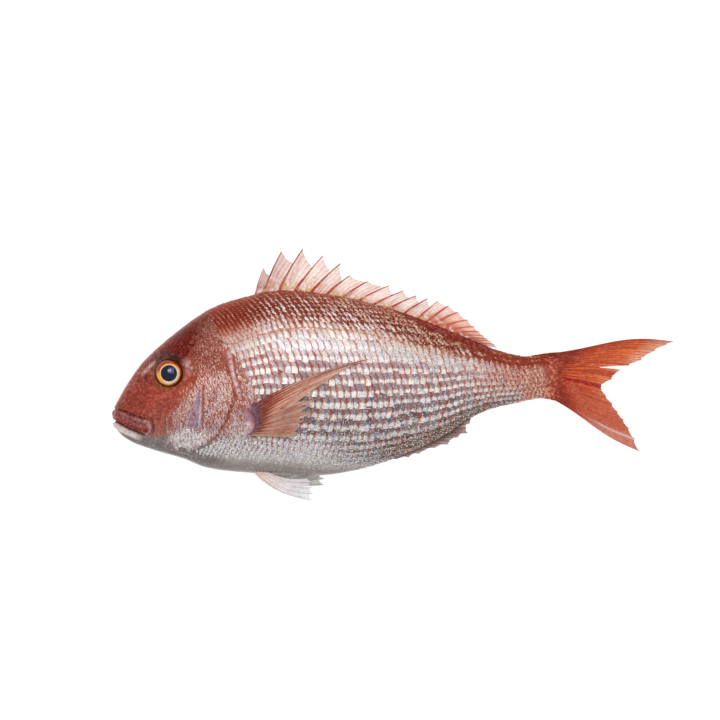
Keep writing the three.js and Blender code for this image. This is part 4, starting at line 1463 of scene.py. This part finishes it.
def fin_columns(rays, webs, hold, sag, fray, draw):
    """Foot, rim and ray number of every column of a fin's grid; hold, sag may differ from web to web."""
    feet, rims, numbers = [], [], []
    for i in range(len(rays) - 1):
        (foot, tip), (next_foot, next_tip) = np.array(rays[i], float), np.array(rays[i + 1], float)
        meets = next_foot + (next_tip - next_foot) * hold[i]
        for q in webs[i]:
            at_foot = foot + (next_foot - foot) * q
            at_rim = tip + (meets - tip) * q
            dip = sag[i] * 4 * q * (1 - q) + fray * draw.random() * (q > 0)
            feet.append(at_foot)
            rims.append(at_rim + (at_foot - at_rim) * dip)
            numbers.append(i + q)
    foot, tip = np.array(rays[-1], float)
    return np.array([*feet, foot]), np.array([*rims, tip]), np.array([*numbers, len(rays) - 1])


def ray_ridge(number, t, spacing, width, splits):
    """1 on a ray and 0 on the skin between; a soft ray splits in two and in two again on its way out."""
    height = np.zeros(np.broadcast(number, t).shape)
    for split, start in splits:
        off = np.abs((number * split + 0.5) % 1 - 0.5) / split * spacing
        height = np.maximum(height, ridge(off, width) * ramp(start - SPLIT_FADE, start + SPLIT_FADE, t))
    return height


# %% Faces of a closed sheet
UPPER_MAP, LOWER_MAP = ((0, 0), (1, 0.49)), ((0, 0.51), (1, 1))  # the two sides on the flat map


def sheet_faces(columns, rows):
    """Faces of the upper side, the lower side and the four walls between them, and their flat map."""
    total = columns * rows
    across, up = np.arange(columns), np.arange(rows)
    sheet = grid_faces(columns, rows)
    faces = [sheet, sheet[:, ::-1] + total]
    maps = [grid_map(columns, rows, *UPPER_MAP), grid_map(columns, rows, *LOWER_MAP)[:, ::-1]]
    for edge, flip in [
        (up, True), (up + (columns - 1) * rows, False),
        (across * rows, False), (across * rows + rows - 1, True),
    ]:
        wall = np.stack([edge[:-1], edge[1:], edge[1:] + total, edge[:-1] + total], -1)
        seam = np.stack([edge // rows / (columns - 1), edge % rows / (rows - 1) * UPPER_MAP[1][1]], -1)
        seam_map = np.stack([seam[:-1], seam[1:], seam[1:], seam[:-1]], 1)
        faces.append(wall[:, ::-1] if flip else wall)
        maps.append(seam_map[:, ::-1] if flip else seam_map)
    return np.concatenate(faces), np.concatenate(maps)


# %% Build a fin from its rays


def add_fin(
    name, node, material, rays, height_at, rows, webs=None, hold=0.97, sag=0.03, fray=0.0,
    bow=0.0, swing=0.0, ray=(0.6, 0.2), skin=(0.5, 0.1), width=0.5, splits=((1, -1),), under=0.0,
):
    """One closed sheet; ray and skin are half thicknesses at the foot and the rim."""
    draw = np.random.default_rng(SEED)
    count = len(rays) - 1
    hold, sag, bow, swing = (np.broadcast_to(value, count) for value in (hold, sag, bow, swing))
    foot, rim, number = fin_columns(rays, webs or [SOFT_WEB] * count, hold, sag, fray, draw)
    bow, swing = (np.interp(number, np.arange(count), value)[:, None] for value in (bow, swing))

    # the sheet seen from above: straight from foot to rim, then bowed and swung to the side
    t = np.linspace(0, 1, rows)[None]
    aside = np.stack([-(rim - foot)[:, 1], (rim - foot)[:, 0]], -1)
    plan = foot[:, None] + (rim - foot)[:, None] * t[..., None]
    plan = plan + aside[:, None] * (4 * bow * t * (1 - t) + swing * np.sin(2 * np.pi * t))[..., None]
    x, y = plan[..., 0], plan[..., 1]

    # its thickness, and the height of its middle
    on_rays = np.searchsorted(number, np.arange(count + 1))
    gaps = np.hypot(np.diff(x[on_rays], axis=0), np.diff(y[on_rays], axis=0))
    spacing = gaps[np.clip(number.astype(int), 0, count - 1)]
    number = number[:, None]
    raised = ray_ridge(number, t, spacing, width * (1 - 0.5 * t), splits)
    skin_half = skin[0] + (skin[1] - skin[0]) * np.minimum(1, 3 * t)
    half = skin_half + raised * (ray[0] + (ray[1] - ray[0]) * t)
    centre = height_at(x, y, t, number)
    top, low = np.stack([x, y, centre + half], -1), np.stack([x, y, centre - half], -1)

    faces, flat_map = sheet_faces(len(number), rows)
    if np.cross(top[1, 0] - top[0, 0], top[0, 1] - top[0, 0])[2] < 0:
        faces, flat_map = faces[:, ::-1], flat_map[:, ::-1]
    facts = {"ray": number, "reach": t, "ridge": raised, "span": number / count, "under": under}
    for key, value in facts.items():
        facts[key] = np.concatenate([np.broadcast_to(value, x.shape).ravel()] * 2)
    points = np.concatenate([top.reshape(-1, 3), low.reshape(-1, 3)])
    return add_piece(name, points, faces, material, [node], facts, flat_map)


# %% The back fin
SPINE_TIPS = [
    (94.8, 82.8), (106, 93.3), (119.2, 94.8), (131.9, 90.6), (142.9, 85.8), (148.6, 78.1), (159.9, 74.3),
    (173.3, 71.8), (182.3, 68.6), (190.5, 65.6), (197.5, 63.8), (203.4, 61.9),
]
SPINE_FEET = np.array([88.6, *np.linspace(93.6, 190, 11)])
SPINE_HOLD = [0.45, 0.68, 0.68, 0.72, 0.72, 0.95, 0.9, 0.72, 0.8, 0.72, 0.66]
SOFT_TIPS = [
    (210.4, 58.9), (216.4, 55.1), (222.3, 50.3), (226.6, 46), (229.8, 42.8), (232.5, 40.3), (234.7, 38.4),
    (236.6, 36.9), (238.9, 35), (241.8, 32.4),
]
SOFT_FEET = np.linspace(195, 228, len(SOFT_TIPS))
FIN_ROOT_DEPTH = 2.6


def back_fin():
    """Spines in front and soft rays behind them."""
    feet = np.concatenate([SPINE_FEET, SOFT_FEET])
    rays = [((x, back(x) - FIN_ROOT_DEPTH), tip) for x, tip in zip(feet, SPINE_TIPS + SOFT_TIPS)]
    spines, soft = len(SPINE_TIPS) - 1, len(SOFT_TIPS)

    def wave(x, y, t, n):
        return middle(x) + 0.9 * t * np.sin(x / 7) + 0.5 * t * np.cos(np.pi * n)

    return add_fin(
        "back_fin", "dorsal_fin", BACK_FIN, rays, wave, rows=40,
        webs=[SPINE_WEB] * spines + [SOFT_WEB] * soft, hold=SPINE_HOLD + [0.95] * soft,
        sag=[0.05] * spines + [0.02] * soft, fray=0.02, bow=0.03, ray=(0.45, 0.15), width=1.15,
    )


back_fin()

# %% The tail fin
TAIL_FOOT_X = 264
TAIL_FEET = (28, 6)
TAIL_TIPS = [
    (352, 36.5), (347.6, 34.6), (340.4, 31), (331.5, 25), (323.8, 21.6), (318.6, 18.9), (313, 13),
    (306.2, 8.4), (309, 3.4), (313, -2), (316.6, -7.4), (320.6, -12.6), (323.8, -17.8), (327.4, -24.4),
    (331, -32.6),
]
TAIL_SPLIT_WEB, TAIL_SPLIT = 4, 0.27  # the skin is torn there, this share of the way in


def tail_fin():
    """The forked fin, its two halves swung apart."""
    feet = np.linspace(*TAIL_FEET, len(TAIL_TIPS))
    rays = [((TAIL_FOOT_X, y), tip) for y, tip in zip(feet, TAIL_TIPS)]
    webs = len(rays) - 1
    sag = np.full(webs, 0.02)
    sag[TAIL_SPLIT_WEB] = TAIL_SPLIT

    def droop(x, y, t, n):
        return middle(x) + 0.7 * t * np.sin(n * 1.3)

    return add_fin(
        "tail_fin_sheet", "tail_fin", TAIL_FIN, rays, droop, rows=48, hold=0.99, sag=sag,
        fray=0.012, bow=np.linspace(0.035, -0.005, webs), swing=np.linspace(-0.018, 0.018, webs),
        skin=(0.9, 0.2), splits=((1, -1), (2, 0.3), (4, 0.6)),
    )


tail_fin()

# %% The anal fin
ANAL_TIPS = [
    (178, -37), (185.5, -35.8), (192, -33.6), (202.5, -29.8), (210.6, -27.9), (217, -23.3), (222.4, -20.8),
    (224, -14.5), (227, -9.8),
]
ANAL_FEET = np.linspace(171, 219, len(ANAL_TIPS))


def anal_fin():
    """The small fin behind the vent, laid back along the belly."""
    rays = [((x, belly(x) + FIN_ROOT_DEPTH), tip) for x, tip in zip(ANAL_FEET, ANAL_TIPS)]

    def ripple(x, y, t, n):
        return middle(x) + 0.6 * t * np.sin(2 * n)

    return add_fin(
        "anal_fin_sheet", "anal_fin", ANAL_FIN, rays, ripple, rows=24, hold=0.8, sag=0.05,
        fray=0.06, bow=-0.02, splits=((1, -1), (2, 0.5)),
    )


anal_fin()

# %% The breast fins
BREAST_ROOT = ((86, -4.2), (87, -22.4))
BREAST_ROOT_CURVE = 4
BREAST_TIPS = [
    (163, 26.3), (158.6, 25.2), (152.4, 22.9), (145.8, 19.3), (139.4, 15.2), (132, 10.6), (124, 5),
    (131.6, 2.5), (125.3, -2.6), (126.9, -7.8), (122.2, -12.5), (118, -17.2), (117.5, -21), (112, -22.9),
]
BREAST_SAG = [0.01] * 6 + [0.3, 0.24, 0.2, 0.18, 0.14, 0.08, 0.04]
BREAST_OUT = (85.5, 90)  # the fin comes out of the pad between these x
BREAST_BELOW = 1.35  # the hidden fin lies pressed flat, this high over the surface at its root


def plain_bulge(x, y):
    """How far the plain loft stands out at x and y."""
    h = np.clip((2 * y - back(x) - belly(x)) / (back(x) - belly(x)), -1, 1)
    return half_width(x) * np.sqrt(1 - h * h) ** (1 + EDGE_SHARPNESS * h)


def between(root, count):
    """Feet of that many rays, evenly from one end of the root to the other."""
    share = np.linspace(0, 1, count)[:, None]
    return np.array(root[0]) * (1 - share) + np.array(root[1]) * share


def breast_fin(side):
    """The left one stands off the flank; the right one is pressed flat under the fish."""
    feet = between(BREAST_ROOT, len(BREAST_TIPS))
    feet[:, 0] += BREAST_ROOT_CURVE * np.sin(np.linspace(0, np.pi, len(feet)))

    def above(x, y, t, n):
        return middle(x) + plain_bulge(x, y) - 1.2 + 3.2 * ramp(*BREAST_OUT, x) + 1.2 * t * t

    def pressed(x, y, t, n):
        return BREAST_BELOW - 0.5 * t + 0 * x

    return add_fin(
        "breast_fin_" + SIDES[side], SIDES[side] + "_pectoral_fin", BREAST_FIN,
        list(zip(feet, BREAST_TIPS)), above if side > 0 else pressed, rows=44, sag=BREAST_SAG,
        fray=0.02, bow=np.linspace(0.045, 0, len(BREAST_SAG)), ray=(0.55, 0.15), skin=(0.5, 0.12),
        splits=((1, -1), (2, 0.6)),
    )


for side in SIDES:
    breast_fin(side)

# %% The belly fins
BELLY_ROOT = ((86, -42), (95, -43.4))
BELLY_TIPS = [(119.4, -61.4), (125.4, -62.8), (126.2, -58.8), (125.4, -55), (124.8, -51.2), (123.6, -48.4)]
BELLY_FIN_SIDE, BELLY_FIN_DROOP = 6.5, 6
RIGHT_TURN, RIGHT_SHIFT = 0.16, (4.4, 3.4)  # the right one shows below the left one, turned and shifted


def belly_fin(side):
    """Folded back along the belly, and drooping over its edge."""
    feet, tips = between(BELLY_ROOT, len(BELLY_TIPS)), np.array(BELLY_TIPS)
    if side < 0:
        c, s = math.cos(RIGHT_TURN), math.sin(RIGHT_TURN)
        tips = feet + (tips - feet) @ np.array([[c, s], [-s, c]]) + RIGHT_SHIFT

    def drape(x, y, t, n):
        off = np.where(t > 0.12, np.maximum(BELLY_FIN_SIDE, plain_bulge(x, y) + 1), BELLY_FIN_SIDE - 1)
        return middle(x) + side * off - BELLY_FIN_DROOP * t * t

    # the right fin gets painted shade in its material, as it lies under the fish
    return add_fin(
        "belly_fin_" + SIDES[side], SIDES[side] + "_pelvic_fin", BELLY_FIN,
        list(zip(feet, tips)), drape, rows=32, hold=0.95, fray=0.03, bow=-0.1, skin=(0.4, 0.1),
        splits=((1, -1), (2, 0.35), (4, 0.65)), under=float(side < 0),
    )


for side in SIDES:
    belly_fin(side)

# %% [markdown]
# ## The eyes
# Each eye is a low dome set in its socket. The grid of rings and spokes carries how far out and which way
# round each point is, for the paint.

# %% Set the eyes
EYE_RADIUS, EYE_DEPTH, EYE_PROUD = 8.9, 6.4, 1.7
EYE_RINGS, EYE_SPOKES = 40, 96
FIRST_RING = 0.01  # leaves a pinhole in the middle of the pupil, so that every face has four corners


def eye(side):
    """A dome that stands proud of the skin round it."""
    share = np.linspace(FIRST_RING, 1, EYE_RINGS)
    turn = np.linspace(0, 2 * np.pi, EYE_SPOKES, endpoint=False)
    r, turn = np.meshgrid(share, turn, indexing="ij")
    out = float(plain_bulge(*map(np.array, EYE_SPOT)))
    centre = np.array([*EYE_SPOT, middle(EYE_SPOT[0]) + side * (out + EYE_PROUD - EYE_DEPTH)])
    across, up = r * np.cos(turn), r * np.sin(turn)
    dome = side * EYE_DEPTH * np.sqrt(np.clip(1 - r**2, 0, 1))
    points = np.stack([EYE_RADIUS * across, EYE_RADIUS * up, dome], -1) + centre
    faces = grid_faces(EYE_RINGS, EYE_SPOKES, close=True)
    if side < 0:
        faces = faces[:, ::-1]
    spot = np.stack([0.5 + 0.5 * across, 0.5 + 0.5 * up], -1).reshape(-1, 2)
    facts = {"radius": r, "turn": turn}
    node = SIDES[side] + "_eye"
    return add_piece("eye_" + SIDES[side], points, faces, EYE, [node], facts, spot[faces])


for side in SIDES:
    eye(side)

# %% [markdown]
# ## Floor, light and camera
# The fish is seen from straight above, as on a copy stand. A broad soft light stands beyond its back, so
# that the back shines and the belly's edge turns away into shade, and an even pale sky fills the rest.
# The floor glows a little of itself, as a light table does, which thins the shadow.

# %% The floor
FLOOR_HALF = 3  # metres
FLOOR_CORNERS = [(-1, -1), (1, -1), (1, 1), (-1, 1)]


def add_floor():
    """A large pale square under the fish."""
    material, w, shader = new_material("pale_floor")
    w.feed(
        shader,
        Base_Color=w.stops(w.noise(4, 2), [(0.4, 0.28), (0.6, 0.3)]),
        Roughness=0.7, Specular_IOR_Level=0.2,
        Emission_Color=(1, 1, 1, 1), Emission_Strength=0.85,
    )
    mesh = bpy.data.meshes.new("floor")
    corners = [(FLOOR_HALF * x, FLOOR_HALF * y, 0) for x, y in FLOOR_CORNERS]
    mesh.from_pydata(corners, [], [(0, 1, 2, 3)])
    mesh.materials.append(material)
    floor = bpy.data.objects.new("floor", mesh)
    bpy.context.scene.collection.objects.link(floor)


add_floor()

# %% Light and sky
SKY_COLOR, SKY_STRENGTH = (1, 0.99, 0.98, 1), 0.76


def add_light(name, place, size, power):
    """A soft light that looks at the middle of the fish."""
    light = bpy.data.lights.new(name, "AREA")
    light.shape = "RECTANGLE"
    light.size, light.size_y = size
    light.energy = power
    lamp = bpy.data.objects.new(name, light)
    lamp.location = place
    lamp.rotation_euler = (-Vector(place)).to_track_quat("-Z", "Y").to_euler()
    bpy.context.scene.collection.objects.link(lamp)
    print("light", name, "of", power, "watts at", place)


add_light("window_light", place=(-0.1, 0.36, 1.2), size=(0.45, 0.3), power=4.8)
world = bpy.data.worlds.new("studio")
world.use_nodes = True
sky = world.node_tree.nodes["Background"].inputs
sky["Color"].default_value = SKY_COLOR
sky["Strength"].default_value = SKY_STRENGTH
scene = bpy.context.scene
scene.world = world
scene.view_settings.view_transform = "Standard"

# %% Camera
SHOWN_WIDTH = 450
CAMERA_HEIGHT = 6000
VIEW_CENTRE = np.array([155, 25, 20])
lens = bpy.data.cameras.new("camera")
lens.sensor_width = 36
lens.lens = lens.sensor_width * CAMERA_HEIGHT / SHOWN_WIDTH
lens.clip_end = 20
camera = bpy.data.objects.new("camera", lens)
camera.location = (VIEW_CENTRE + FISH_ORIGIN + [0, 0, CAMERA_HEIGHT]) * MM
scene.collection.objects.link(camera)
scene.camera = camera
print("camera with a lens of", round(lens.lens), "mm")
